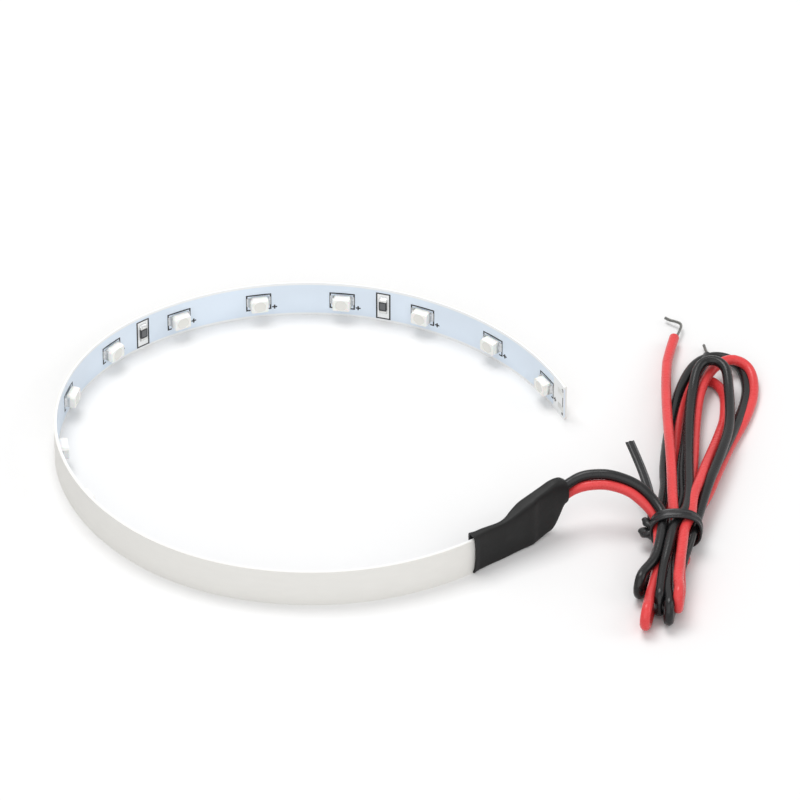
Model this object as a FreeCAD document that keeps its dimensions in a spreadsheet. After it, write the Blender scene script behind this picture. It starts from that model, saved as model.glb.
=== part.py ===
import FreeCAD, Part
import math
import os

from FreeCAD import Matrix, Placement, Rotation, Vector

# Driving sizes: millimetres, degrees and counts
SIZES = [
    ("strip_width", 8.0),
    ("circuit_thickness", 0.3),
    ("tape_thickness", 0.2),
    ("liner_thickness", 0.1),
    ("led_count", 15),
    ("leds_per_segment", 3),
    ("led_pitch", 16.667),
    ("free_end_margin", 7.0),
    ("wired_end_margin", 17.0),
    ("wired_end_x", 42.69),
    ("wired_end_y", -26.86),
    ("wired_end_heading", 34.6),
    ("bend_1", 51.6),
    ("bend_2", 57.6),
    ("bend_3", 70.3),
    ("bend_4", 51.0),
    ("bend_5", 51.1),
    ("led_length", 3.5),
    ("led_width", 2.8),
    ("led_height", 1.9),
    ("led_corner_cut", 0.5),
    ("cavity_sides", 24),
    ("cavity_rim_radius", 1.2),
    ("cavity_floor_radius", 0.85),
    ("cavity_depth", 0.9),
    ("resin_recess", 0.06),
    ("chip_side", 0.6),
    ("chip_height", 0.15),
    ("terminal_thickness", 0.15),
    ("terminal_width", 2.2),
    ("terminal_foot", 0.8),
    ("terminal_rise", 0.85),
    ("solder_reach", 0.5),
    ("solder_rise", 0.45),
    ("resistor_length", 3.2),
    ("resistor_width", 1.6),
    ("resistor_height", 0.55),
    ("resistor_cap", 0.5),
    ("end_pad_length", 2.2),
    ("end_pad_height", 2.4),
    ("end_pad_spacing", 3.6),
    ("end_pad_thickness", 0.05),
    ("seat_gap", 0.01),
    ("sleeve_overlap", 14.0),
    ("sleeve_length", 22.0),
    ("sleeve_wall", 0.4),
    ("sleeve_fit", 0.1),
    ("sleeve_lift", 0.1),
    ("sleeve_headroom", 0.6),
    ("sleeve_corner", 0.25),
    ("sleeve_rise", 2.4),
    ("mouth_height", 8.7),
    ("mouth_clearance", 0.4),
    ("wire_diameter", 2.0),
    ("wire_sides", 12),
    ("wire_pitch", 2.1),
    ("conductor_diameter", 0.8),
    ("joint_length", 3.0),
    ("joint_width", 1.6),
    ("joint_height", 0.55),
    ("hank_waist_x", 69.9),
    ("hank_waist_y", -27.7),
    ("hank_waist_radius", 3.9),
    ("tie_width", 2.6),
    ("tie_thickness", 0.9),
    ("tie_tail_width", 1.8),
]

# Hand-chosen routes of the wires, in millimetres
BLACK_LEAD_ROUTE = [
    (41.1, -26.4, 6.4), (45.2, -23.6, 8.2), (49.3, -20.7, 10.0), (53.2, -19.1, 11.5),
    (57.4, -19.3, 11.9), (61.6, -21.1, 11.3), (65.5, -23.7, 9.5), (68.6, -26.6, 6.2),
]
RED_LEAD_ROUTE = [
    (41.1, -26.4, 3.4), (45.2, -23.6, 5.6), (49.3, -20.7, 7.9), (53.2, -19.4, 9.3),
    (57.3, -20.0, 9.6), (61.2, -22.1, 8.8), (64.5, -24.9, 6.8), (66.7, -28.0, 4.2),
]
RED_TAIL_ROUTE = [(68.9, 0.0, 4.6), (68.6, 12.0, 3.5), (69.2, 23.5, 2.4), (71.3, 34.5, 1.7)]
RED_END_ROUTE = [(71.3, 34.5, 1.7), (72.3, 36.9, 1.5), (71.7, 39.0, 1.2), (69.6, 40.2, 0.9)]
BLACK_END_ROUTE = [(78.2, 26.0, 2.2), (77.7, 29.0, 2.0), (77.0, 32.2, 1.6)]

doc = FreeCAD.newDocument("led_strip")
sheet = doc.addObject("Spreadsheet::Sheet", "Sizes")
for row, (alias, value) in enumerate(SIZES, start=1):
    sheet.set(f"A{row}", alias)
    sheet.set(f"B{row}", str(value))
    sheet.setAlias(f"B{row}", alias)
doc.recompute()

sub_parts = []


def size(alias):
    """A driving size, as the sheet holds it."""
    return float(sheet.get(alias))


def bind(feature, **expressions):
    """Ties a feature's properties to the sheet."""
    for name, expression in expressions.items():
        feature.setExpression(name, expression)


def keep(feature, label):
    """Names a finished sub-part and puts it on the list that is written."""
    feature.Label = label
    sub_parts.append(feature)
    return feature


def solid_feature(label, shape):
    """A sub-part whose shape is worked out here from the sheet's sizes."""
    feature = doc.addObject("Part::Feature", label)
    feature.Shape = shape
    return keep(feature, label)


def prism(outline, direction):
    """A solid drawn out from a closed outline of points."""
    points = [Vector(*point) for point in outline]
    return Part.Face(Part.makePolygon(points + points[:1])).extrude(Vector(*direction))


def block(low, high):
    """A box between two opposite corners."""
    span = [b - a for a, b in zip(low, high)]
    return Part.makeBox(*span, Vector(*low))


# The strip's plan: a straight stretch in the sleeve, then five bends of equal length to the free end
STRIP_LENGTH = (
    size("wired_end_margin") + (size("led_count") - 1) * size("led_pitch") + size("free_end_margin")
)
BENDS = [math.radians(size(f"bend_{number}")) for number in range(1, 6)]
BEND_LENGTH = (STRIP_LENGTH - size("sleeve_overlap")) / len(BENDS)
HALF_CIRCUIT = size("circuit_thickness") / 2


class Stretch:
    """One straight or bent stretch of the plan, with its start, heading and turn to the right."""

    def __init__(self, start, heading, length, turn):
        self.start = start
        self.heading = heading
        self.length = length
        self.turn = turn

    def heading_at(self, distance):
        return self.heading - self.turn * distance / self.length

    def inward_at(self, distance):
        heading = self.heading_at(distance)
        return Vector(math.sin(heading), -math.cos(heading), 0)

    def point_at(self, distance):
        if not self.turn:
            return self.start + Vector(math.cos(self.heading), math.sin(self.heading), 0) * distance
        radius = self.length / self.turn
        centre = self.start + self.inward_at(0) * radius
        return centre - self.inward_at(distance) * radius


def plan_stretches():
    """The stretches in order, from the wired end to the free end."""
    start = Vector(size("wired_end_x"), size("wired_end_y"), 0)
    heading = math.radians(size("wired_end_heading")) + math.pi
    stretches = []
    for length, turn in [(size("sleeve_overlap"), 0.0)] + [(BEND_LENGTH, turn) for turn in BENDS]:
        stretch = Stretch(start, heading, length, turn)
        stretches.append(stretch)
        start = stretch.point_at(length)
        heading = stretch.heading_at(length)
    return stretches


PLAN = plan_stretches()


def station(from_free_end):
    """The stretch at a distance from the free end, and how far along it that is."""
    along = STRIP_LENGTH - from_free_end
    for stretch in PLAN:
        if along <= stretch.length:
            break
        along -= stretch.length
    return stretch, along


def seat(from_free_end, half_reach):
    """Where a flat piece of that half length sits on the strip's inner face: X along, Y up, Z inward."""
    stretch, along = station(from_free_end)
    tightest = max(other.turn / other.length for other in PLAN)
    inward = stretch.inward_at(along)
    heading = stretch.heading_at(along)
    sag = half_reach ** 2 * tightest / 2 if stretch.turn else 0.0
    lift = HALF_CIRCUIT + sag + size("seat_gap")
    base = stretch.point_at(along) + inward * lift + Vector(0, 0, size("strip_width") / 2)
    along_axis = Vector(math.cos(heading), math.sin(heading), 0)
    up = Vector(0, 0, 1)
    axes = Matrix(
        along_axis.x, up.x, inward.x, base.x,
        along_axis.y, up.y, inward.y, base.y,
        along_axis.z, up.z, inward.z, base.z,
        0, 0, 0, 1,
    )
    return Placement(axes)


def face_edges(stretches, outward):
    """The lines and arcs of one face of the strip, at a distance outward from the circuit's middle."""
    edges = []
    for stretch in stretches:
        points = [
            stretch.point_at(distance) - stretch.inward_at(distance) * outward
            for distance in (0, stretch.length / 2, stretch.length)
        ]
        if stretch.turn:
            edges.append(Part.Arc(*points))
        else:
            edges.append(Part.LineSegment(points[0], points[2]))
    return edges


def origin_plane(body, role):
    """One of a body's own origin planes."""
    return next(plane for plane in body.Origin.OriginFeatures if plane.Role == role)


def attached_sketch(body, name, role, offset=Placement()):
    """An empty sketch on one of the body's own planes, moved by an offset."""
    sketch = body.newObject("Sketcher::SketchObject", name)
    sketch.AttachmentSupport = (origin_plane(body, role), [""])
    sketch.MapMode = "FlatFace"
    sketch.AttachmentOffset = offset
    return sketch


def lamina(label, stretches, inner, outer):
    """A layer of the strip: its plan between two faces, padded to the strip's width."""
    body = doc.addObject("PartDesign::Body", label)
    sketch = attached_sketch(body, f"{label}_plan", "XY_Plane")
    ends = []
    for stretch, distance in ((stretches[0], 0), (stretches[-1], stretches[-1].length)):
        middle = stretch.point_at(distance)
        outward = stretch.inward_at(distance) * -1
        ends.append(Part.LineSegment(middle + outward * inner, middle + outward * outer))
    for edge in face_edges(stretches, inner) + face_edges(stretches, outer) + ends:
        sketch.addGeometry(edge)
    pad = body.newObject("PartDesign::Pad", f"{label}_pad")
    pad.Profile = sketch
    bind(pad, Length="Sizes.strip_width")
    return keep(body, label)


def rectangle_sketch(body, name, corners):
    """A closed four-sided outline on the body's ground plane."""
    sketch = attached_sketch(body, name, "XY_Plane")
    for start, end in zip(corners, corners[1:] + corners[:1]):
        sketch.addGeometry(Part.LineSegment(start, end))
    return sketch


# The circuit, its tape and its liner
def make_strip():
    """The layers of the strip, with the circuit's lower edge trimmed where the sleeve goes over it."""
    tape_face = HALF_CIRCUIT + size("tape_thickness")
    circuit = lamina("flex_circuit", PLAN, -HALF_CIRCUIT, HALF_CIRCUIT)
    lamina("adhesive_tape", PLAN[1:], HALF_CIRCUIT, tape_face)
    lamina("release_liner", PLAN[1:], tape_face, tape_face + size("liner_thickness"))
    sleeved = PLAN[0]
    margin = size("circuit_thickness")
    corners = [
        sleeved.point_at(distance) + sleeved.inward_at(distance) * side
        for distance, side in (
            (-margin, margin), (sleeved.length, margin), (sleeved.length, -margin), (-margin, -margin)
        )
    ]
    trim = circuit.newObject("PartDesign::Pocket", "sleeve_trim")
    trim.Profile = rectangle_sketch(circuit, "sleeve_trim_plan", corners)
    trim.Reversed = True
    bind(trim, Length="Sizes.sleeve_lift + Sizes.sleeve_wall + Sizes.sleeve_fit")


# The lamps along the strip
LED_FLOOR = size("terminal_thickness")
CAVITY_FLOOR = size("led_height") - size("cavity_depth")
LED_HALF = size("led_length") / 2
LED_REACH = LED_HALF + size("terminal_thickness") + size("solder_reach")


def led_seats():
    """Where each lamp sits, from the free end on."""
    count = round(size("led_count"))
    return [seat(size("free_end_margin") + index * size("led_pitch"), LED_REACH) for index in range(count)]


def housing_edge(box):
    """The box's upright edge at its marked corner, by number."""
    for number, edge in enumerate(box.Shape.Edges, start=1):
        ends = [box.Placement.inverse().multVec(vertex.Point) for vertex in edge.Vertexes]
        upright = abs(ends[0].z - ends[1].z) > size("led_height") / 2
        marked = all(end.x < LED_HALF and end.y > LED_HALF / 2 for end in ends)
        if upright and marked:
            return number
    raise RuntimeError("the lamp's marked corner was not found")


def cavity_outline(name, radius, place, height):
    """A regular outline across the lamp's cavity, at a height over the lamp's base."""
    outline = doc.addObject("Part::RegularPolygon", name)
    bind(outline, Circumradius=radius, Polygon="Sizes.cavity_sides")
    outline.Placement = place * Placement(Vector(0, 0, height), Rotation())
    return outline


def ring(centre, axis, radius, sides):
    """A closed regular outline about an axis."""
    turn = Rotation(Vector(0, 0, 1), axis)
    corners = []
    for number in range(sides + 1):
        angle = 2 * math.pi * (number % sides) / sides
        corners.append(centre + turn.multVec(Vector(radius * math.cos(angle), radius * math.sin(angle), 0)))
    return Part.makePolygon(corners)


def make_led(number, place):
    """One lamp: a housing with a round tapered cavity, its resin and the chip on the cavity's floor."""
    box = doc.addObject("Part::Box", f"led_block_{number:02d}")
    bind(box, Length="Sizes.led_length", Width="Sizes.led_width",
         Height="Sizes.led_height - Sizes.terminal_thickness")
    box.Placement = place * Placement(Vector(-LED_HALF, -size("led_width") / 2, LED_FLOOR), Rotation())
    cavity = doc.addObject("Part::Loft", f"led_cavity_{number:02d}")
    cavity.Sections = [
        cavity_outline(f"cavity_floor_{number:02d}", "Sizes.cavity_floor_radius", place, CAVITY_FLOOR),
        cavity_outline(f"cavity_rim_{number:02d}", "Sizes.cavity_rim_radius", place, size("led_height")),
    ]
    cavity.Solid = True
    cavity.Ruled = True
    doc.recompute()
    chamfer = doc.addObject("Part::Chamfer", f"led_corner_{number:02d}")
    chamfer.Base = box
    chamfer.Edges = [(housing_edge(box), size("led_corner_cut"), size("led_corner_cut"))]
    housing = doc.addObject("Part::Cut", f"led_housing_{number:02d}")
    housing.Base = chamfer
    housing.Tool = cavity
    keep(housing, f"led_housing_{number:02d}")

    fill = size("cavity_depth") - size("resin_recess")
    taper = (size("cavity_rim_radius") - size("cavity_floor_radius")) / size("cavity_depth")
    half_chip = size("chip_side") / 2
    chip = block((-half_chip, -half_chip, CAVITY_FLOOR), (half_chip, half_chip, CAVITY_FLOOR + size("chip_height")))
    floor_radius = size("cavity_floor_radius")
    sides = round(size("cavity_sides"))
    up = Vector(0, 0, 1)
    outlines = [
        ring(up * (CAVITY_FLOOR + height), up, floor_radius + taper * height, sides) for height in (0.0, fill)
    ]
    resin = Part.makeLoft(outlines, True, True).cut(chip)
    resin.Placement = place
    solid_feature(f"led_resin_{number:02d}", resin)
    chip.Placement = place
    return chip


def mirrored_pair(shape):
    """A shape and its twin on the other side of the lamp's middle."""
    return [shape, shape.mirror(Vector(0, 0, 0), Vector(1, 0, 0))]


def led_terminals():
    """The two folded terminals of a lamp, in the lamp's own frame."""
    thick = size("terminal_thickness")
    foot = LED_HALF - size("terminal_foot")
    side = -size("terminal_width") / 2
    outline = [
        (foot, side, 0), (LED_HALF + thick, side, 0), (LED_HALF + thick, side, size("terminal_rise")),
        (LED_HALF, side, size("terminal_rise")), (LED_HALF, side, thick), (foot, side, thick),
    ]
    return mirrored_pair(prism(outline, (0, size("terminal_width"), 0)))


def solder_wedge(start, width):
    """A solder fillet that leans against a flat end at that distance from the middle."""
    outline = [
        (start, -width / 2, 0), (start + size("solder_reach"), -width / 2, 0),
        (start, -width / 2, size("solder_rise")),
    ]
    return prism(outline, (0, width, 0))


def placed(shapes, place):
    """Copies of shapes at a place."""
    copies = [shape.copy() for shape in shapes]
    for copy in copies:
        copy.Placement = place
    return copies


def make_leds():
    """All lamps, with their terminals, and the solder fillets that hold them."""
    chips, terminals, solder = [], [], []
    fillets = mirrored_pair(solder_wedge(LED_HALF + size("terminal_thickness"), size("terminal_width")))
    for number, place in enumerate(led_seats(), start=1):
        chips.append(make_led(number, place))
        terminals += placed(led_terminals(), place)
        solder += placed(fillets, place)
    solid_feature("led_chips", Part.makeCompound(chips))
    solid_feature("led_terminals", Part.makeCompound(terminals))
    return solder


# The resistors, one after each segment's last lamp
def make_resistors():
    """Chip resistors set across the strip: a dark body between two metal end caps."""
    half_length = size("resistor_length") / 2
    half_width = size("resistor_width") / 2
    height = size("resistor_height")
    body_end = half_length - size("resistor_cap")
    per_segment = round(size("leds_per_segment"))
    quarter = Placement(Vector(0, 0, 0), Rotation(Vector(0, 0, 1), 90))
    caps, solder = [], []
    for number in range(1, round(size("led_count")) // per_segment + 1):
        middle = size("free_end_margin") + (number * per_segment - 0.5) * size("led_pitch")
        place = seat(middle, half_width)
        body = doc.addObject("Part::Box", f"resistor_{number:02d}")
        bind(body, Length="Sizes.resistor_width", Height="Sizes.resistor_height",
             Width="Sizes.resistor_length - 2 * Sizes.resistor_cap")
        body.Placement = place * Placement(Vector(-half_width, -body_end, 0), Rotation())
        keep(body, f"resistor_{number:02d}")
        ends = [
            block((-half_width, body_end, 0), (half_width, half_length, height)),
            block((-half_width, -half_length, 0), (half_width, -body_end, height)),
        ]
        caps += placed(ends, place)
        fillets = mirrored_pair(solder_wedge(half_length, size("resistor_width")))
        solder += placed(fillets, place * quarter)
    solid_feature("resistor_caps", Part.makeCompound(caps))
    return solder


def make_end_pads():
    """Bare soldering pads on the free end and, inside the sleeve, on the wired end."""
    half = (size("end_pad_length") / 2, size("end_pad_height") / 2)
    pads = []
    for from_free_end in (half[0] + size("circuit_thickness"), STRIP_LENGTH - half[0] - size("circuit_thickness")):
        place = seat(from_free_end, half[0])
        for side in (-1, 1):
            middle = side * size("end_pad_spacing") / 2
            pad = block((-half[0], middle - half[1] / 2, 0),
                        (half[0], middle + half[1] / 2, size("end_pad_thickness")))
            pads += placed([pad], place)
    solid_feature("end_pads", Part.makeCompound(pads))


# The shrink sleeve, in its own frame: X out along the wires, Y inward, Z up, from its lip
def sleeve_place():
    lip = PLAN[0].point_at(size("sleeve_overlap"))
    return Placement(lip, Rotation(Vector(0, 0, 1), size("wired_end_heading")))


def sleeve_stations():
    """The hollow's sections: distance from the lip, near, far, low and high limits, corner radius."""
    fit = size("sleeve_fit")
    back = -HALF_CIRCUIT - fit
    flat = HALF_CIRCUIT + size("resistor_height") + fit
    full = HALF_CIRCUIT + size("wire_diameter") + 2 * fit
    low = size("sleeve_lift") + size("sleeve_wall")
    high = size("strip_width") + size("sleeve_headroom")
    rise = size("sleeve_rise")
    reach = size("wire_pitch") / 2 + size("wire_diameter") / 2 + size("mouth_clearance")
    mouth = size("mouth_height")
    overlap = size("sleeve_overlap")
    nose = size("sleeve_length") - overlap
    corner = size("sleeve_corner")
    bow = size("wire_diameter") / 2
    return [
        (0.0, back - fit, flat + fit, low, high, corner),
        (overlap * 0.6, back, full, low, high + rise * 0.15, corner),
        (overlap, back, full, low, high + rise * 0.65, corner),
        (overlap + nose * 0.35, back, full, mouth - reach * 3.0, high + rise, bow * 0.6),
        (overlap + nose * 0.75, back, full, mouth - reach * 1.8, high + rise * 1.2, bow),
        (overlap + nose, back, full, mouth - reach, mouth + reach, bow),
    ]


def oblong(sketch, near, far, low, high, radius):
    """A rectangle with its corners rounded off in two steps, from its limits."""
    slant = radius * (1 - math.sqrt(0.5))
    corners = [
        (near + radius, low), (far - radius, low), (far - slant, low + slant),
        (far, low + radius), (far, high - radius), (far - slant, high - slant),
        (far - radius, high), (near + radius, high), (near + slant, high - slant),
        (near, high - radius), (near, low + radius), (near + slant, low + slant),
    ]
    points = [Vector(*corner) for corner in corners]
    for start, end in zip(points, points[1:] + points[:1]):
        sketch.addGeometry(Part.LineSegment(start, end))


def sleeve_loft(body, kind, name, grow):
    """A loft through the sleeve's sections, each grown by the wall for the outside."""
    sections = []
    for number, (along, near, far, low, high, corner) in enumerate(sleeve_stations()):
        offset = Placement(Vector(0, 0, along), Rotation())
        sketch = attached_sketch(body, f"{name}_{number}", "YZ_Plane", offset)
        oblong(sketch, near - grow, far + grow, low - grow, high + grow, corner + grow)
        sections.append(sketch)
    loft = body.newObject(kind, name)
    loft.Profile = sections[0]
    loft.Sections = sections[1:]
    loft.Ruled = True
    return loft


def make_sleeve():
    """The shrink sleeve: a hollow loft from the flat strip to the mouth round the two wires."""
    body = doc.addObject("PartDesign::Body", "shrink_sleeve")
    sleeve_loft(body, "PartDesign::AdditiveLoft", "sleeve_outside", size("sleeve_wall"))
    doc.recompute()
    sleeve_loft(body, "PartDesign::SubtractiveLoft", "sleeve_hollow", 0.0)
    body.Placement = sleeve_place()
    keep(body, "shrink_sleeve")


# The wires
def rounded_route(points):
    """Straight runs joined by tangent arcs, each as large as its two runs allow."""
    corners = [Vector(*point) for point in points]
    edges, radii = [], []
    start = corners[0]
    for before, corner, after in zip(corners, corners[1:], corners[2:]):
        back = (before - corner).normalize()
        ahead = (after - corner).normalize()
        reach = 0.45 * min(before.distanceToPoint(corner), after.distanceToPoint(corner))
        half_turn = (math.pi - back.getAngle(ahead)) / 2
        radius = reach / math.tan(half_turn)
        centre = corner + (back + ahead).normalize() * (radius / math.cos(half_turn))
        middle = centre + (corner - centre).normalize() * radius
        edges.append(Part.LineSegment(start, corner + back * reach).toShape())
        edges.append(Part.Arc(corner + back * reach, middle, corner + ahead * reach).toShape())
        start = corner + ahead * reach
        radii.append(round(radius, 1))
    edges.append(Part.LineSegment(start, corners[-1]).toShape())
    return Part.Wire(edges), radii


def tube(label, points, diameter):
    """A plain tube along a route."""
    path, radii = rounded_route(points)
    first = path.Edges[0]
    start = first.valueAt(first.FirstParameter)
    section = ring(start, first.tangentAt(first.FirstParameter), diameter / 2, round(size("wire_sides")))
    shape = path.makePipeShell([section], True, False)
    expected = Part.Face(section).Area * path.Length
    print(label, "bend radii", radii, "volume over section times length", round(shape.Volume / expected, 4))
    return shape


HANK_SIDES = 12


def hank_ring(centre_x, y, centre_z, half_width, half_height):
    """The corners of a many-sided outline across the hank."""
    corners = []
    for number in range(HANK_SIDES):
        angle = 2 * math.pi * (number + 0.5) / HANK_SIDES
        corners.append(Vector(centre_x + half_width * math.cos(angle), y,
                              centre_z + half_height * math.sin(angle)))
    return corners


def skinned(rings):
    """A closed solid of flat faces through rings of corners."""
    faces = [rings[0], rings[-1]]
    for near, far in zip(rings, rings[1:]):
        for index in range(len(near)):
            following = (index + 1) % len(near)
            faces.append([near[index], near[following], far[following]])
            faces.append([near[index], far[following], far[index]])
    shell = Part.Shell([Part.Face(Part.makePolygon(corners + corners[:1])) for corners in faces])
    return Part.Solid(shell)


def hank_rings():
    """The hank's outline from its lower folds, through the waist in the tie, to its upper loops."""
    x = size("hank_waist_x")
    y = size("hank_waist_y")
    waist = size("hank_waist_radius")
    half_tie = size("tie_width") / 2
    height = waist + size("tie_thickness")
    return [
        hank_ring(x - 4.3, y - 26.8, 1.9, 2.8, 1.7),
        hank_ring(x - 3.4, y - 21.0, 3.0, 5.2, 2.9),
        hank_ring(x - 1.6, y - 8.5, 4.3, 4.4, 3.8),
        hank_ring(x, y - half_tie, height, waist, waist),
        hank_ring(x, y + half_tie, height, waist, waist),
        hank_ring(x + 2.7, y + 13.5, 4.2, 5.6, 3.8),
        hank_ring(x + 5.6, y + 28.0, 3.6, 8.4, 3.4),
        hank_ring(x + 8.1, y + 43.0, 3.1, 10.2, 3.0),
        hank_ring(x + 9.8, y + 53.5, 2.7, 8.0, 2.6),
        hank_ring(x + 9.8, y + 57.6, 2.2, 4.6, 1.6),
    ]


def make_tie(hank):
    """A twist tie: a band round the hank's waist, a twisted stub beside it and one flat free tail."""
    x = size("hank_waist_x")
    y = size("hank_waist_y")
    half_tie = size("tie_width") / 2
    thick = size("tie_thickness")
    waist = size("hank_waist_radius")
    height = waist + thick
    outer = waist + thick
    band = skinned([hank_ring(x, y + side * half_tie, height, outer, outer) for side in (-1, 1)]).cut(hank)
    stub_start = Vector(x - waist - thick / 2, y, height - 0.6)
    stub_end = Vector(x - waist - 2.2, y + 1.6, height - 1.8)
    outline = Part.Face(ring(stub_start, stub_end - stub_start, thick, round(size("wire_sides"))))
    stub = outline.extrude(stub_end - stub_start)
    half_tail = size("tie_tail_width") / 2
    stations = [(stub_end + Vector(0.3, -0.4, 0.2)), Vector(x - 4.9, y + 11.2, 5.6), Vector(x - 8.4, y + 21.1, 8.8)]
    sections = []
    for point in stations:
        corners = [
            point + Vector(across * half_tail, 0, up * thick / 2)
            for across, up in ((-1, -1), (1, -1), (1, 1), (-1, 1), (-1, -1))
        ]
        sections.append(Part.makePolygon(corners))
    tail = Part.makeLoft(sections, True, True)
    return band.fuse([stub, tail]).cut(hank).removeSplitter()


def make_wires():
    """The two wires: soldered ends in the sleeve, free leads, the tied hank and the stripped tails."""
    diameter = size("wire_diameter")
    conductor = size("conductor_diameter")
    hank = skinned(hank_rings())
    solid_feature("wire_hank", hank)
    tie = make_tie(hank)
    solid_feature("wire_tie", tie)
    held = hank.fuse(tie)
    black_lead = tube("black_wire_lead", BLACK_LEAD_ROUTE, diameter).cut(held)
    red_lead = tube("red_wire_lead", RED_LEAD_ROUTE, diameter).cut(held)
    red_tail = tube("red_wire_tail", RED_TAIL_ROUTE, diameter).cut(held)
    solid_feature("black_wire_lead", black_lead)
    solid_feature("red_wire_lead", red_lead)
    solid_feature("red_wire_tail", red_tail)
    solid_feature("red_bare_end", tube("red_bare_end", RED_END_ROUTE, conductor).cut(red_tail))
    solid_feature("black_bare_end", tube("black_bare_end", BLACK_END_ROUTE, conductor).cut(held))
    return black_lead, red_lead


def make_wire_joints(leads):
    """The stripped ends inside the sleeve, each lying on a bed of solder on its pad."""
    place = sleeve_place()
    base = HALF_CIRCUIT + size("end_pad_thickness") + 2 * size("seat_gap")
    top = base + size("joint_height")
    radius = size("conductor_diameter") / 2
    end = BLACK_LEAD_ROUTE[0]
    along_end = place.inverse().multVec(Vector(*end)).x
    start = along_end - size("joint_length")
    conductors, beds = [], []
    for route, lead in zip((BLACK_LEAD_ROUTE, RED_LEAD_ROUTE), leads):
        height = route[0][2]
        side = size("joint_width") / 2
        outline = ring(Vector(start, top + radius, height), Vector(1, 0, 0), radius, round(size("wire_sides")))
        stub = Part.Face(outline).extrude(Vector(along_end - start, 0, 0))
        bed = block((start, base, height - side), (along_end - radius, top, height + side))
        conductors += [copy.cut(lead) for copy in placed([stub], place)]
        beds += placed([bed], place)
    solid_feature("joint_conductors", Part.makeCompound(conductors))
    solid_feature("joint_solder", Part.makeCompound(beds))


def check_and_write():
    """Stops on any failed object or bad shape, then writes each sub-part to its own file."""
    doc.recompute()
    for item in doc.Objects:
        if "Invalid" in item.State or "Error" in item.State:
            raise RuntimeError(f"{item.Name} failed: {item.State}")
    for item in sub_parts:
        if item.Shape.isNull() or not item.Shape.isValid() or not item.Shape.Solids:
            raise RuntimeError(f"{item.Label} has no good shape")
    os.makedirs("parts", exist_ok=True)
    for item in sub_parts:
        item.Shape.exportStep(f"parts/{item.Label}.step")


make_strip()
fillets = make_leds() + make_resistors()
solid_feature("solder_fillets", Part.makeCompound(fillets))
make_end_pads()
make_sleeve()
leads = make_wires()
make_wire_joints(leads)
check_and_write()
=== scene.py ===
"""Dresses a short flexible LED strip light: its layers, print, lamps, sleeve, wires and tie."""
import math

import bmesh
import bpy
import numpy as np
from bpy.props import FloatProperty, FloatVectorProperty, IntProperty, PointerProperty
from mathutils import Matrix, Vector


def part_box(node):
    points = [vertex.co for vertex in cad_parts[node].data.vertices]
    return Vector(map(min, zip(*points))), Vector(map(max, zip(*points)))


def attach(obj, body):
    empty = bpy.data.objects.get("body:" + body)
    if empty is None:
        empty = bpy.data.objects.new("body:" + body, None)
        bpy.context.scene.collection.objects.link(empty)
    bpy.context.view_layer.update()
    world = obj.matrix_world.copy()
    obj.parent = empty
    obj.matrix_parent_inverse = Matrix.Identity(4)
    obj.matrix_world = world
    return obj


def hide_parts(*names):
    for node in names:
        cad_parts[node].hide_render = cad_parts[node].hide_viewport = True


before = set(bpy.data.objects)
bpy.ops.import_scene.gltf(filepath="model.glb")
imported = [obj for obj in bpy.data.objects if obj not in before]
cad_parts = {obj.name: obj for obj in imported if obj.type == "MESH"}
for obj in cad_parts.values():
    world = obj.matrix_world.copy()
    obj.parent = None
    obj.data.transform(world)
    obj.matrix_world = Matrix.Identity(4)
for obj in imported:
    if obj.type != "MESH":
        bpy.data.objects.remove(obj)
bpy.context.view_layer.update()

bl_info = {
    "name": "Flexible LED strip light",
    "version": (1, 0, 0),
    "blender": (4, 5, 0),
    "location": "3D View > Sidebar > LED Strip",
    "description": "Builds the pieces of a flexible LED strip light around its fixed frame",
    "category": "Object",
}

MM = 0.001
STRIP_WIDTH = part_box("flex_circuit")[1].z

# The strip's plan: five bends of equal length, from the sleeve to the free end
BEND_TURNS = np.radians([51.6, 57.6, 70.3, 51.0, 51.1])
WIRED_END = np.array([42.69, -26.86]) * MM
WIRED_HEADING = math.radians(34.6)

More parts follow.
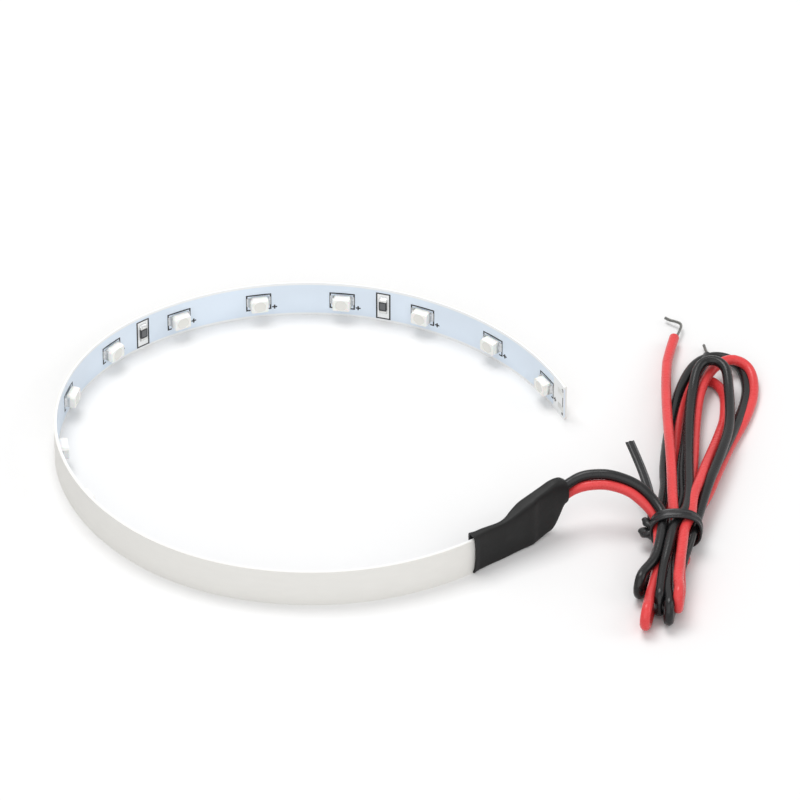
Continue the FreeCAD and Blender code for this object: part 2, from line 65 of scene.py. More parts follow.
# Control points of the wires, in millimetres: the lead, the strands, folds and loops of the hank,
# and the tail
BLACK_ROUTE = [
    (41.1, -26.4, 6.4), (45.2, -23.6, 8.2), (49.3, -20.7, 9.9), (52.0, -19.7, 11.1),
    (55.1, -19.3, 11.2), (57.6, -19.4, 11.1), (61.0, -20.0, 10.2), (63.6, -21.0, 9.1),
    (65.4, -22.6, 8.0), (67.7, -26.2, 6.7), (67.3, -29.2, 6.5), (66.8, -33.0, 6.3),
    (65.8, -37.9, 5.7), (63.4, -41.3, 5.4), (62.8, -43.0, 5.4), (62.4, -44.2, 4.1),
    (62.4, -44.2, 2.3), (62.8, -43.0, 1.1), (63.4, -41.3, 1.1), (64.6, -37.5, 1.2),
    (65.8, -33.0, 2.1), (67.1, -29.4, 3.0), (67.2, -26.2, 3.1), (67.0, -22.0, 3.1),
    (68.3, -13.3, 3.0), (68.2, -9.4, 2.8), (68.4, -5.2, 2.7), (69.0, 0.8, 2.5),
    (69.8, 6.7, 2.3), (71.0, 13.8, 2.1), (72.4, 19.2, 2.0), (73.8, 23.2, 2.0),
    (75.5, 26.4, 1.9), (77.9, 28.3, 1.8), (80.0, 28.7, 1.7), (82.2, 28.1, 1.5),
    (84.1, 25.9, 1.4), (85.0, 22.5, 1.2), (85.2, 18.3, 1.1), (84.4, 13.5, 1.2),
    (82.9, 7.7, 2.0), (81.5, 2.8, 2.6), (79.8, -2.4, 2.9), (77.8, -8.2, 2.9),
    (76.3, -12.2, 2.9), (72.0, -26.2, 3.0), (71.9, -29.2, 3.1), (69.7, -33.0, 3.1),
    (69.0, -35.2, 2.8), (68.2, -39.0, 1.6), (67.2, -43.0, 1.1), (66.5, -46.2, 1.1),
    (66.3, -47.9, 1.1), (66.2, -49.2, 2.3), (66.2, -49.2, 4.1), (66.3, -47.9, 5.4),
    (66.5, -46.2, 5.4), (66.8, -43.4, 5.6), (67.4, -39.4, 5.8), (67.9, -37.1, 6.2),
    (68.7, -33.0, 6.8), (69.4, -29.2, 6.8), (71.2, -26.2, 6.8), (72.2, -22.7, 6.3),
    (72.7, -17.0, 5.7), (72.8, -10.0, 5.1), (73.0, -3.3, 4.6), (73.3, 3.1, 4.4),
    (73.7, 8.7, 4.3), (74.3, 14.1, 4.3), (74.8, 17.4, 5.0), (75.4, 19.8, 5.6),
    (76.8, 21.9, 6.0), (79.2, 22.2, 6.0), (80.9, 20.6, 5.6), (81.3, 18.0, 5.1),
    (81.4, 15.0, 4.6), (81.5, 11.1, 4.4), (81.4, 6.4, 4.4), (80.9, 1.6, 4.6),
    (79.6, -3.8, 4.9), (78.0, -9.8, 5.1), (76.6, -14.3, 5.2), (73.7, -26.2, 4.4),
    (72.9, -29.4, 4.7), (71.7, -33.0, 3.3), (71.1, -35.2, 2.9), (70.3, -38.5, 1.9),
    (69.6, -43.0, 1.1), (68.2, -49.0, 1.1), (68.0, -50.7, 1.1), (67.9, -52.0, 2.3),
    (67.9, -52.0, 4.1), (68.0, -50.7, 5.4), (68.2, -49.0, 5.4), (67.9, -46.7, 5.3),
    (68.2, -41.4, 5.0), (68.5, -37.0, 4.3), (68.8, -33.0, 4.9), (68.7, -29.2, 5.0),
    (69.0, -26.2, 4.7), (71.4, -19.6, 4.7), (71.3, -13.8, 4.1), (71.6, -7.0, 3.5),
    (72.6, 0.5, 2.9), (73.5, 8.6, 2.6), (74.0, 14.5, 2.6), (75.1, 20.9, 2.6),
    (76.3, 24.1, 2.6), (77.8, 28.7, 1.8),
]
RED_ROUTE = [
    (41.1, -26.4, 3.4), (45.2, -23.6, 5.6), (49.3, -20.7, 7.8), (52.1, -20.9, 9.5),
    (55.1, -20.5, 9.6), (57.6, -20.6, 9.5), (61.1, -21.3, 8.6), (63.2, -22.6, 7.5),
    (65.2, -24.2, 6.3), (66.5, -26.2, 5.0), (66.5, -29.4, 4.8), (66.5, -33.0, 4.4),
    (66.3, -37.0, 3.9), (65.7, -40.9, 3.9), (64.5, -47.1, 4.2), (64.0, -50.6, 5.2),
    (63.7, -52.2, 5.2), (63.4, -53.4, 4.0), (63.4, -53.4, 2.3), (63.7, -52.2, 1.1),
    (64.0, -50.6, 1.1), (64.9, -46.0, 1.1), (65.8, -41.0, 1.1), (66.7, -37.5, 1.8),
    (67.1, -35.2, 2.8), (67.7, -33.0, 3.1), (69.5, -29.4, 3.3), (70.9, -26.2, 4.5),
    (73.1, -16.4, 4.3), (73.7, -10.0, 3.4), (74.2, -2.3, 2.8), (74.6, 4.7, 2.5),
    (75.2, 11.4, 2.8), (76.0, 16.4, 3.0), (77.2, 20.2, 3.2), (78.7, 22.9, 3.4),
    (80.5, 24.8, 3.5), (82.6, 25.9, 3.3), (84.8, 25.2, 2.8), (86.1, 23.6, 2.1),
    (86.6, 20.8, 1.5), (86.4, 16.8, 1.1), (85.3, 12.1, 1.1), (83.7, 7.3, 1.2),
    (81.8, 2.5, 1.5), (79.8, -3.8, 2.0), (77.8, -10.6, 2.4), (76.4, -15.1, 2.2),
    (74.4, -19.6, 2.1), (72.4, -23.4, 2.0), (71.2, -26.2, 2.0), (71.0, -29.2, 1.8),
    (71.6, -31.5, 1.1), (71.6, -33.2, 1.1), (70.4, -34.4, 1.1), (68.7, -34.4, 1.1),
    (67.5, -33.2, 1.1), (67.5, -31.5, 1.1), (68.2, -29.2, 1.8), (68.8, -26.2, 2.0),
    (69.6, -12.7, 1.9), (70.2, -5.4, 1.7), (70.8, 2.6, 1.4), (71.4, 9.3, 1.2),
    (72.2, 14.7, 1.1), (73.3, 18.6, 1.1), (74.7, 21.1, 1.1), (76.8, 22.2, 1.1),
    (78.9, 21.3, 1.1), (80.2, 19.1, 1.1), (80.8, 16.3, 1.1), (80.7, 12.8, 1.3),
    (80.4, 8.8, 1.5), (79.3, 3.8, 2.3), (78.0, -1.6, 3.3), (76.3, -8.1, 4.5),
    (74.8, -14.7, 5.6), (73.3, -19.9, 6.1), (72.9, -26.2, 6.4), (71.5, -29.4, 6.6),
    (71.1, -33.0, 6.7), (70.3, -40.0, 6.6), (69.8, -44.3, 6.4), (70.0, -47.1, 6.7),
    (69.8, -48.8, 6.7), (69.7, -50.0, 5.5), (69.7, -50.0, 3.7), (69.8, -48.8, 2.5),
    (70.0, -47.1, 2.5), (70.5, -43.5, 2.8), (70.4, -38.0, 3.7), (70.9, -33.0, 4.9),
    (70.7, -29.4, 5.0), (69.7, -26.2, 6.2), (69.4, -22.1, 6.5), (69.5, -11.6, 6.1),
    (69.4, -3.3, 5.7), (69.2, 5.7, 4.7), (69.2, 15.1, 3.6), (69.5, 22.8, 2.8),
    (69.9, 27.7, 2.3), (71.4, 34.7, 1.7),
]
RED_END_ROUTE = [
    (70.9, 32.1, 1.9), (72.3, 36.4, 1.5), (73.1, 39.2, 1.5), (71.8, 40.4, 1.3),
    (70.6, 41.0, 1.1), (69.8, 41.9, 1.0),
]
BLACK_END_ROUTE = [
    (77.1, 26.3, 2.2), (78.0, 29.7, 1.6), (77.5, 31.0, 1.2), (77.2, 33.3, 0.9),
]

# The tie: the middle of its band, and control points of its twisted ends and tail, in millimetres
TIE_MIDDLE = np.array([69.9, -27.7, 4.45]) * MM
TIE_STUB = [(66.4, -28.4, 3.6), (64.9, -28.2, 3.4), (63.6, -27.2, 3.4), (62.9, -26.6, 3.6)]
TIE_SPUR = [(65.6, -27.6, 4.4), (64.4, -26.6, 5.0), (63.7, -25.6, 5.6)]
TIE_TAIL = [(65.6, -26.6, 3.9), (65.4, -21.0, 4.6), (64.6, -14.5, 6.1), (61.5, -6.6, 8.8)]

# Along the sleeve, from lip to mouth: the share of its length, how far its near side sinks in, how
# far its top climbs, how far its foot lies under the mouth's middle (0 where it lies flat), and how
# far its far side bulges. The sides count in fits, the top in rises, the foot in mouth reaches.
FIT = 0.1 * MM
SLEEVE_KNOTS = np.array([
    (0.0, -5.5, 0.08, 0.0, 2.0),
    (0.05, -2.0, 0.0, 0.0, 0.5),
    (0.1, -1.0, 0.0, 0.0, 0.0),
    (0.36, 0.0, 0.02, 0.0, 0.0),
    (0.45, 0.0, 0.24, 0.0, 9.0),
    (0.54, 0.0, 0.54, 0.0, 14.0),
    (0.63, 0.0, 0.8, 0.0, 14.0),
    (0.69, 3.2, 0.92, 3.66, 14.0),
    (0.77, 3.4, 1.1, 3.4, 15.0),
    (0.87, 2.6, 1.4, 2.95, 15.0),
    (0.92, 2.3, 1.42, 2.1, 14.5),
    (0.96, 1.9, 1.34, 1.3, 14.0),
    (1.0, 1.4, 0.0, 0.95, 13.0),
])

RESISTOR_EASE = 0.05 * MM  # Rounding of a resistor's edges
UP = np.array([0.0, 0.0, 1.0])

# The stage: the floor's half side, and each lamp's name, power, side and place, in metres. The
# camera's sensor is in millimetres.
FLOOR_HALF = 3.0
LAMPS = (
    ("key_lamp", "key_power", 0.6, (-0.16, 0.32, 1.05)),
    ("fill_lamp", "fill_power", 1.5, (-0.08, -0.95, 0.8)),
    ("side_lamp", "side_power", 0.6, (0.95, -0.1, 0.55)),
)
SENSOR = 36.0


# What a user may change
def length(name, description, millimetres):
    """A length property, written in millimetres and kept in metres."""
    return FloatProperty(name=name, description=description, default=millimetres * MM,
                         unit="LENGTH", precision=5)


def paint(name, description, value):
    """A colour property."""
    return FloatVectorProperty(name=name, description=description, default=value, size=3,
                               min=0.0, max=1.0, subtype="COLOR")


def amount(name, description, number):
    """A property that counts pieces."""
    return IntProperty(name=name, description=description, default=number, min=1)


def watts(name, description, value):
    """A lamp's power as a property."""
    return FloatProperty(name=name, description=description, default=value, subtype="POWER")


class StripSizes(bpy.types.PropertyGroup):
    """Sizes of the strip's layers and of what repeats along it."""

    width: length("Strip width", "Height of the standing strip", STRIP_WIDTH / MM)
    circuit: length("Circuit", "Thickness of the flexible circuit", 0.3)
    tape: length("Tape", "Thickness of the adhesive tape", 0.2)
    liner: length("Liner", "Thickness of the liner over the tape", 0.1)
    edge_ease: length("Edge ease", "Rounding of the layers' cut edges", 0.03)
    # The pale bands painted along both edges of the mask, this wide, are a painted highlight
    margin: length("Margin", "Width of the bare margins along the circuit", 0.35)
    lamp_count: amount("Lamps", "Number of lamps along the strip", 15)
    lamps_per_segment: amount("Lamps per segment", "Lamps fed by one resistor", 3)
    pitch: length("Lamp pitch", "Distance between lamps along the strip", 16.667)
    free_margin: length("Free margin", "Distance from the free end to the first lamp", 7.0)
    wired_margin: length("Wired margin", "Distance from the last lamp to the wired end", 17.0)
    overlap: length("Overlap", "Length of strip inside the sleeve", 14.0)
    tuck: length("Tuck", "Length of tape and liner inside the sleeve", 0.6)
    trim: length("Trim", "Height of the cut-away lower edge inside the sleeve", 0.6)
    seat_gap: length("Seat gap", "Air under a soldered piece", 0.01)


class PrintSizes(bpy.types.PropertyGroup):
    """Sizes of the printed marks on the circuit's inner face."""

    line: length("Line", "Width of a printed line", 0.3)
    ink: length("Ink", "Thickness of the ink", 0.02)
    bracket_half: length("Bracket half length", "Half the length of the mark round a lamp", 2.55)
    bracket_low: length("Bracket foot", "Lower end of the mark round a lamp", 1.85)
    bracket_high: length("Bracket top", "Upper edge of the mark round a lamp", 5.75)
    tick: length("Tick", "Length of the short ends turned towards the lamp", 0.6)
    sign: length("Plus sign", "Size of the plus sign beside a lamp", 1.0)
    frame_half: length("Frame half length", "Half the length of the frame round a resistor", 1.5)
    frame_low: length("Frame foot", "Lower edge of the frame round a resistor", 0.55)
    frame_high: length("Frame top", "Upper edge of the frame round a resistor", 6.95)


class LampSizes(bpy.types.PropertyGroup):
    """Sizes of a lamp, its terminals' solder and of a resistor."""

    length: length("Lamp length", "Length of the housing along the strip", 3.5)
    width: length("Lamp width", "Height of the housing across the strip", 2.8)
    height: length("Lamp height", "Height of the housing over the circuit", 1.9)
    floor: length("Housing floor", "Height of the housing's underside", 0.15)
    corner_cut: length("Corner cut", "Leg of the cut at the marked corner", 0.5)
    rim: length("Cup rim", "Radius of the light cup at its rim", 1.2)
    cup: length("Cup floor", "Radius of the light cup at its floor", 0.85)
    depth: length("Cup depth", "Depth of the light cup", 0.9)
    recess: length("Resin recess", "Depth of the resin's skin below the rim", 0.06)
    terminal: length("Terminal", "Thickness of the folded terminals", 0.15)
    terminal_width: length("Terminal width", "Width of the folded terminals", 2.2)
    solder_reach: length("Solder reach", "Reach of a solder fillet along the circuit", 0.5)
    solder_rise: length("Solder rise", "Height of a solder fillet", 0.45)
    resistor_length: length("Resistor length", "Length of a resistor across the strip", 3.2)
    resistor_width: length("Resistor width", "Width of a resistor along the strip", 1.6)
    resistor_height: length("Resistor height", "Height of a resistor", 0.55)
    cap: length("Resistor cap", "Length of a resistor's end cap", 0.5)


class SleeveSizes(bpy.types.PropertyGroup):
    """Sizes of the shrink sleeve."""

    length: length("Sleeve length", "Length of the sleeve from lip to mouth", 22.0)
    wall: length("Wall", "Thickness of the shrunk wall", 0.4)
    lift: length("Lift", "Height of the sleeve over the floor", 0.1)
    flare: length("Flare", "How far the lip's corners reach past its middle", 0.35)
    mouth_height: length("Mouth height", "Height of the mouth's middle over the floor", 8.9)
    mouth_reach: length("Mouth reach", "Half the height of the mouth's hollow", 2.25)
    rise: length("Rise", "How far the top climbs from the lip to the nose", 2.4)
    headroom: length("Headroom", "Room over the strip's upper edge", 0.6)


class WireSizes(bpy.types.PropertyGroup):
    """Sizes of the two wires and of the tie round their hank."""

    diameter: length("Wire diameter", "Outside diameter of the insulation", 2.0)
    black_length: length("Black length", "Length of the black wire", 454.0)
    red_length: length("Red length", "Length of the red wire", 435.0)
    strand: length("Strand", "Diameter of one strand of the conductor", 0.18)
    tie_width: length("Tie width", "Width of the tie round the hank", 2.6)
    tie_half_x: length("Tie half width", "Half the width of the band's middle line", 4.75)
    tie_half_z: length("Tie half height", "Half the height of the band's middle line", 3.95)
    tie_thickness: length("Tie thickness", "Thickness of the tie over its ribs", 0.9)
    tail_width: length("Tail width", "Width of the tie's free tail", 1.8)


class Finishes(bpy.types.PropertyGroup):
    """Colours of the finishes."""

    mask: paint("Solder mask", "Pale face of the circuit", (0.69, 0.77, 0.86))
    # Colour of the fields without mask, and of the painted highlight along the mask's edges
    bare_and_edge_highlight: paint("Bare laminate", "Margins and fields without mask", (0.85, 0.86, 0.86))
    ink: paint("Print", "Printed marks", (0.012, 0.012, 0.014))
    tape: paint("Tape", "Adhesive tape's edge", (0.78, 0.78, 0.76))
    liner: paint("Liner", "Liner's outer face", (0.76, 0.75, 0.72))
    housing: paint("Housing", "Moulded lamp housing", (0.84, 0.84, 0.81))
    resin: paint("Resin", "Clear resin in the lamp's cup", (0.93, 0.92, 0.87))
    chip: paint("Chip", "Light-giving chip", (0.55, 0.50, 0.36))
    tin: paint("Tin", "Tinned metal", (0.72, 0.72, 0.70))
    solder: paint("Solder", "Soldered joints", (0.62, 0.63, 0.64))
    strands: paint("Strands", "Bare strands of the stripped ends", (0.20, 0.20, 0.19))
    glaze: paint("Glaze", "Dark glaze on a resistor", (0.02, 0.02, 0.022))
    window: paint("Window", "Paler middle of a resistor's top", (0.12, 0.125, 0.13))
    sleeve: paint("Sleeve", "Shrink sleeve", (0.009, 0.009, 0.009))
    red: paint("Red insulation", "Red wire", (0.64, 0.049, 0.051))
    black: paint("Black insulation", "Black wire", (0.007, 0.007, 0.0075))
    tie: paint("Tie", "Plastic of the tie", (0.014, 0.014, 0.015))
    floor: paint("Floor", "Studio floor", (0.815, 0.815, 0.815))


class StageSettings(bpy.types.PropertyGroup):
    """Camera and lights."""

    distance: length("Camera distance", "From the camera to the middle of the view", 1500.0)
    elevation: FloatProperty(name="Elevation", description="Camera's angle over the floor",
                             default=math.radians(38.795), subtype="ANGLE")
    target_x: length("View middle X", "Middle of the view on the floor, along X", 17.28)
    target_y: length("View middle Y", "Middle of the view on the floor, along Y", 17.17)
    lens: FloatProperty(name="Lens", description="Focal length in millimetres", default=344.97)
    key_power: watts("Key power", "Power of the large lamp overhead", 7.0)
    fill_power: watts("Fill power", "Power of the wide lamp beside the camera", 8.0)
    side_power: watts("Side power", "Power of the lamp on the wires' side", 1.8)
    sky: FloatProperty(name="Sky", description="Strength of the even light from all round",
                       default=0.46)


# Shader maths
class Field:
    """A node's output. Arithmetic on it adds Math nodes to the same tree."""

    def __init__(self, nodes, socket):
        self.nodes = nodes
        self.socket = socket

    def math(self, operation, first, second):
        """A Math node on two values or links."""
        return self.nodes.node("ShaderNodeMath", {"operation": operation}, {0: first, 1: second})

    def __add__(self, other):
        return self.math("ADD", self, other)

    def __sub__(self, other):
        return self.math("SUBTRACT", self, other)

    def __rsub__(self, other):
        return self.math("SUBTRACT", other, self)

    def __mul__(self, other):
        return self.math("MULTIPLY", self, other)

    __radd__ = __add__
    __rmul__ = __mul__


class Nodes:
    """A node tree under construction, of a material or of the world."""

    def __init__(self, tree):
        self.tree = tree
        tree.nodes.clear()

    def node(self, kind, settings=None, inputs=None, output=0):
        """Adds a node: its settings first, then the values or links of its sockets."""
        node = self.tree.nodes.new(kind)
        for name, value in (settings or {}).items():
            setattr(node, name, value)
        for name, value in (inputs or {}).items():
            if isinstance(value, Field):
                self.tree.links.new(value.socket, node.inputs[name])
            else:
                node.inputs[name].default_value = value
        return Field(self, node.outputs[output]) if node.outputs else None


class Finish(Nodes):
    """A procedural material under construction."""

    def __init__(self, name):
        self.material = bpy.data.materials.new(name)
        self.material.use_nodes = True
        super().__init__(self.material.node_tree)
        self.place = self.node("ShaderNodeTexCoord", output="Object")

    def noise(self, scale, detail=3.0, place=None):
        """Even noise from 0 to 1, at so many waves a metre."""
        inputs = {"Vector": place or self.place, "Scale": scale, "Detail": detail}
        return self.node("ShaderNodeTexNoise", None, inputs)

    def stretched(self, x, y, z):
        """Object coordinates scaled on each axis."""
        return self.node("ShaderNodeMapping", None, {"Vector": self.place, "Scale": (x, y, z)})

    def steps(self, value, low, high):
        """A value's smooth rise from 0 at the low limit to 1 at the high one."""
        inputs = {"Value": value, "From Min": low, "From Max": high}
        return self.node("ShaderNodeMapRange", {"interpolation_type": "SMOOTHSTEP"}, inputs)

    def mix(self, share, first, second):
        """A blend of two colours."""
        inputs = {"Factor": share, 6: as_rgba(first), 7: as_rgba(second)}
        return self.node("ShaderNodeMix", {"data_type": "RGBA"}, inputs, 2)

    def bump(self, height, strength, distance):
        """A normal raised by a height field."""
        inputs = {"Height": height, "Strength": strength, "Distance": distance}
        return self.node("ShaderNodeBump", None, inputs)

    def done(self, **sockets):
        """Ends the material in a Principled shader with these sockets."""
        named = {name.replace("_", " ").title().replace("Ior", "IOR"): value
                 for name, value in sockets.items()}
        return self.surfaced(self.node("ShaderNodeBsdfPrincipled", None, named))

    def surfaced(self, shader):
        """Links a shader to the material's surface."""
        self.node("ShaderNodeOutputMaterial", None, {"Surface": shader})
        return self.material


def as_rgba(shade):
    """A colour with an alpha of 1, or a link as it is."""
    return shade if isinstance(shade, Field) else (*shade, 1.0)


def shaded(shade, factor):
    """A colour made darker or lighter."""
    return tuple(min(1.0, part * factor) for part in shade)


# Finishes
def solder_mask(shade, bare_and_edge_highlight, width, margin):
    """Pale satin mask over copper: faint clouds, a painted highlight that pales it to white along
    both edges, and a fine orange peel.
    """
    finish = Finish("solder_mask")
    clouds = finish.noise(60.0, 4.0)
    colour = finish.mix(finish.steps(clouds, 0.35, 0.7), shade, shaded(shade, 1.06))
    height = finish.node("ShaderNodeSeparateXYZ", None, {"Vector": finish.place}, "Z")
    # Painted highlight: the mask pales to the bare colour within a margin of each edge, where the
    # edges catch the light
    over_foot = finish.steps(height, margin, margin * 2)
    under_top = finish.steps(width - height, margin, margin * 2)
    colour = finish.mix(over_foot * under_top, bare_and_edge_highlight, colour)
    peel = finish.noise(5200.0, 2.0)
    return finish.done(base_color=colour, roughness=0.36 + 0.12 * finish.noise(900.0),
                       normal=finish.bump(peel, 0.12, 0.00004))


def print_ink(shade):
    """Screen-printed black ink, a little thin in places."""
    finish = Finish("print_ink")
    worn = finish.steps(finish.noise(2600.0), 0.45, 0.8)
    colour = finish.mix(worn * 0.4, shade, shaded(shade, 3.0))
    return finish.done(base_color=colour, roughness=0.5 + 0.2 * worn)


def paper(name, shade, scale):
    """Matt coated paper: faint pale fibres and a soft tooth."""
    finish = Finish(name)
    fibres = finish.noise(scale, 6.0, finish.stretched(1.0, 1.0, 3.0))
    colour = finish.mix(finish.steps(fibres, 0.3, 0.75), shaded(shade, 0.99), shaded(shade, 1.01))
    tooth = finish.noise(4200.0, 4.0)
    return finish.done(base_color=colour, roughness=0.55 + 0.2 * fibres,
                       normal=finish.bump(tooth, 0.18, 0.00005))


def lamp_plastic(shade):
    """White moulded plastic, with painted shade darkening the floor of the light cup."""
    finish = Finish("lamp_housing")
    cup = finish.node("ShaderNodeAttribute", {"attribute_name": "cup_floor"}, None, "Fac")
    grain = finish.noise(1800.0, 3.0)
    plastic = finish.mix(finish.steps(grain, 0.3, 0.8), shade, shaded(shade, 1.05))
    # Painted shade: the floor of the light cup is darkened
    colour = finish.mix(cup, plastic, shaded(shade, 0.92))
    return finish.done(base_color=colour, roughness=0.38 + 0.15 * grain,
                       subsurface_weight=0.15, subsurface_scale=0.0006,
                       normal=finish.bump(grain, 0.1, 0.00004))


def clear_resin(shade):
    """Clear casting resin with a faint haze."""
    finish = Finish("lamp_resin")
    haze = finish.noise(1500.0, 2.0)
    colour = finish.mix(haze * 0.3, shade, shaded(shade, 0.9))
    return finish.done(base_color=colour, roughness=0.14 + 0.1 * haze, transmission_weight=0.2,
                       ior=1.48)


def speckled(name, shade, contrast, roughness, metallic, scale):
    """A fine mottled surface, matt or metallic."""
    finish = Finish(name)
    mottle = finish.noise(scale, 4.0)
    dark, light = shaded(shade, 1.0 - contrast), shaded(shade, 1.0 + contrast)
    colour = finish.mix(finish.steps(mottle, 0.3, 0.7), dark, light)
    return finish.done(base_color=colour, roughness=roughness + 0.15 * mottle, metallic=metallic,
                       normal=finish.bump(mottle, 0.15, 0.00004))


def glazed(shade, window):
    """Dark glaze with a paler window, where the window attribute is 1."""
    finish = Finish("resistor_glaze")
    share = finish.node("ShaderNodeAttribute", {"attribute_name": "window"}, None, "Fac")
    mottle = finish.noise(3000.0, 4.0)
    colour = finish.mix(share * (0.8 + 0.2 * mottle), shade, window)
    return finish.done(base_color=colour, roughness=0.26 + 0.15 * mottle,
                       normal=finish.bump(mottle, 0.1, 0.00004))


def shrunk_sleeve(shade):
    """Satin shrink tube: fine skin, soft shrink waves, and a painted highlight that pales the
    waves' high spots.
    """
    finish = Finish("shrink_sleeve")
    waves = finish.noise(190.0, 3.0)
    skin = finish.noise(3400.0, 3.0)
    # Painted highlight: the colour pales where the waves stand high
    crest_highlight = finish.steps(waves, 0.5, 0.8)
    colour = finish.mix(crest_highlight * 0.5, shade, shaded(shade, 2.1))
    height = waves + 0.06 * skin
    return finish.done(base_color=colour, roughness=0.42 + 0.14 * skin, specular_ior_level=0.22,
                       normal=finish.bump(height, 0.35, 0.00035))


def insulation(name, shade, lift):
    """Drawn plastic insulation: soft blooms along the wire and a fine extruded skin."""
    finish = Finish(name)
    bloom = finish.noise(130.0, 4.0)
    skin = finish.noise(2600.0, 2.0)
    colour = finish.mix(finish.steps(bloom, 0.35, 0.75), shade, shaded(shade, lift))
    roughness = 0.17 + 0.1 * skin + 0.1 * bloom
    return finish.done(base_color=colour, roughness=roughness, specular_ior_level=0.3,
                       normal=finish.bump(skin, 0.04, 0.00003))


# Shapes
def smooth_through(position, knots, values):
    """A smooth curve through knots: cubic pieces with the mean slope of both chords at a knot."""
    slopes = np.gradient(values, knots)
    index = np.clip(np.searchsorted(knots, position) - 1, 0, len(knots) - 2)
    span = knots[index + 1] - knots[index]
    share = np.clip((position - knots[index]) / span, 0.0, 1.0)
    rest = 1.0 - share
    return (values[index] * rest ** 2 * (1 + 2 * share)
            + values[index + 1] * share ** 2 * (1 + 2 * rest)
            + slopes[index] * span * share * rest ** 2
            - slopes[index + 1] * span * share ** 2 * rest)


def signed_power(value, power):
    """A value's power that keeps its sign."""
    return np.sign(value) * np.abs(value) ** power


def unit(vectors):
    """Vectors of length 1 in the same directions."""
    return vectors / np.linalg.norm(vectors, axis=-1, keepdims=True)


def around(count, offset=0.0):
    """Angles of points spread evenly round a circle, moved on by a share of a step."""
    return (np.arange(count) + offset) * (2 * math.pi / count)


def directions(angle):
    """Unit vectors in plan at angles."""
    return np.stack([np.cos(angle), np.sin(angle)], -1)


def inward_of(angle):
    """Unit vectors in plan, a quarter turn to the right of angles."""
    return np.stack([np.sin(angle), -np.cos(angle)], -1)


def strip_length(strip):
    """Length of the circuit: the pitches between its lamps, and a margin at each end."""
    return strip.wired_margin + (strip.lamp_count - 1) * strip.pitch + strip.free_margin


def bent_length(strip):
    """Length of the bent strip, from the free end to the sleeve's lip."""
    return strip_length(strip) - strip.overlap


def strip_plan(strip, distance):
    """Points, headings and inward directions of the circuit's middle line.

    Distances count from the free end. From the wired end a straight stretch is followed by bends of
    equal length. Along a bend the heading falls evenly, and a point is the bend's centre less its
    inward direction times the bend's radius.
    """
    along = strip_length(strip) - np.asarray(distance, float)
    bend = bent_length(strip) / len(BEND_TURNS)
    heading = WIRED_HEADING + math.pi
    points = WIRED_END + directions(heading) * along[..., None]
    headings = np.full(along.shape, heading)
    start = WIRED_END + directions(heading) * strip.overlap
    reached = strip.overlap
    for turn in BEND_TURNS:
        radius = bend / turn
        centre = start + inward_of(heading) * radius
        turned = heading - turn * (along - reached) / bend
        on_bend = along > reached
        points = np.where(on_bend[..., None], centre - inward_of(turned) * radius, points)
        headings = np.where(on_bend, turned, headings)
        heading -= turn
        start = centre - inward_of(heading) * radius
        reached += bend
    return points, headings, inward_of(headings)


def on_strip(strip, distance, lift, height):
    """Points in the frame from a distance from the free end, a lift inward and a height."""
    distance, lift, height = np.broadcast_arrays(distance, lift, height)
    points, _, inwards = strip_plan(strip, distance)
    flat = points + inwards * lift[..., None]
    return np.concatenate([flat, height[..., None]], -1)


def seat_axes(strip, distance, half_reach):
    """Origins and axes of flat seats on the inner face: X along the strip, Y up, Z inward.

    On a bend a seat stands off by the sag of the tightest bend under half its reach.
    """
    bend = bent_length(strip) / len(BEND_TURNS)
    sag = half_reach ** 2 * BEND_TURNS.max() / bend / 2
    bent = strip_length(strip) - distance > strip.overlap
    points, headings, inwards = strip_plan(strip, distance)
    lift = strip.circuit / 2 + np.where(bent, sag, 0.0) + strip.seat_gap
    middle = np.full((len(points), 1), strip.width / 2)
    origin = np.concatenate([points + inwards * lift[:, None], middle], -1)
    flat = np.zeros((len(points), 1))
    along = np.concatenate([directions(headings), flat], -1)
    inward = np.concatenate([inwards, flat], -1)
    return origin, np.stack([along, np.broadcast_to(UP, along.shape), inward], 1)


def seated(local, seats):
    """Copies of local points, rings by points by 3, on every seat."""
    origin, axes = seats
    return origin[:, None, None] + np.einsum("rci,kij->krcj", local, axes)


def superellipse(half_x, half_y, power, angle):
    """Points on a rounded rectangle: |x/a|^p + |y/b|^p = 1, met by rays at angles."""
    ray = directions(angle)
    reach = (np.abs(ray / [half_x, half_y]) ** power).sum(-1) ** (-1 / power)
    return ray * reach[..., None]


def stacked_rings(outlines, heights):
    """Rings of points in 3-D from plan outlines, rings by points by 2, and a height for each."""
    heights = np.broadcast_to(np.asarray(heights, float)[:, None, None], (*outlines.shape[:2], 1))
    return np.concatenate([outlines, heights], -1)


def eased_block(half_x, half_y, low, high, ease):
    """A block with eased edges: superellipse outlines, drawn in near its foot and top."""
    outline = superellipse(half_x, half_y, 14.0, around(64))
    inset = np.array([ease, ease * 0.3, 0.0, 0.0, ease * 0.3, ease])
    heights = np.array([low, low + ease * 0.3, low + ease, high - ease, high - ease * 0.3, high])
    shares = 1.0 - inset[:, None] / np.array([half_x, half_y])
    return stacked_rings(outline[None] * shares[:, None], heights)


def closed_solids(rings):
    """Vertices and faces of solids, from islands by rings by points by 3.

    Quads join neighbouring rings, and the first and last ring are filled.
    """
    islands, rows, columns = rings.shape[:3]
    index = np.arange(rows * columns).reshape(rows, columns)
    following = np.roll(index, -1, axis=1)
    quads = np.stack([index[:-1], following[:-1], following[1:], index[1:]], -1).reshape(-1, 4)
    ends = np.stack([index[0, ::-1], index[-1]])
    shift = np.arange(islands)[:, None, None] * (rows * columns)
    faces = (quads + shift).reshape(-1, 4).tolist() + (ends + shift).reshape(-1, columns).tolist()
    return rings.reshape(-1, 3), faces


def closed_tube(rings):
    """Vertices and faces of a ring of rings, joined to itself both ways."""
    rows, columns = rings.shape[:2]
    index = np.arange(rows * columns).reshape(rows, columns)
    below = np.roll(index, -1, axis=0)
    quads = np.stack([index, np.roll(index, -1, 1), np.roll(below, -1, 1), below], -1)
    return rings.reshape(-1, 3), quads.reshape(-1, 4).tolist()


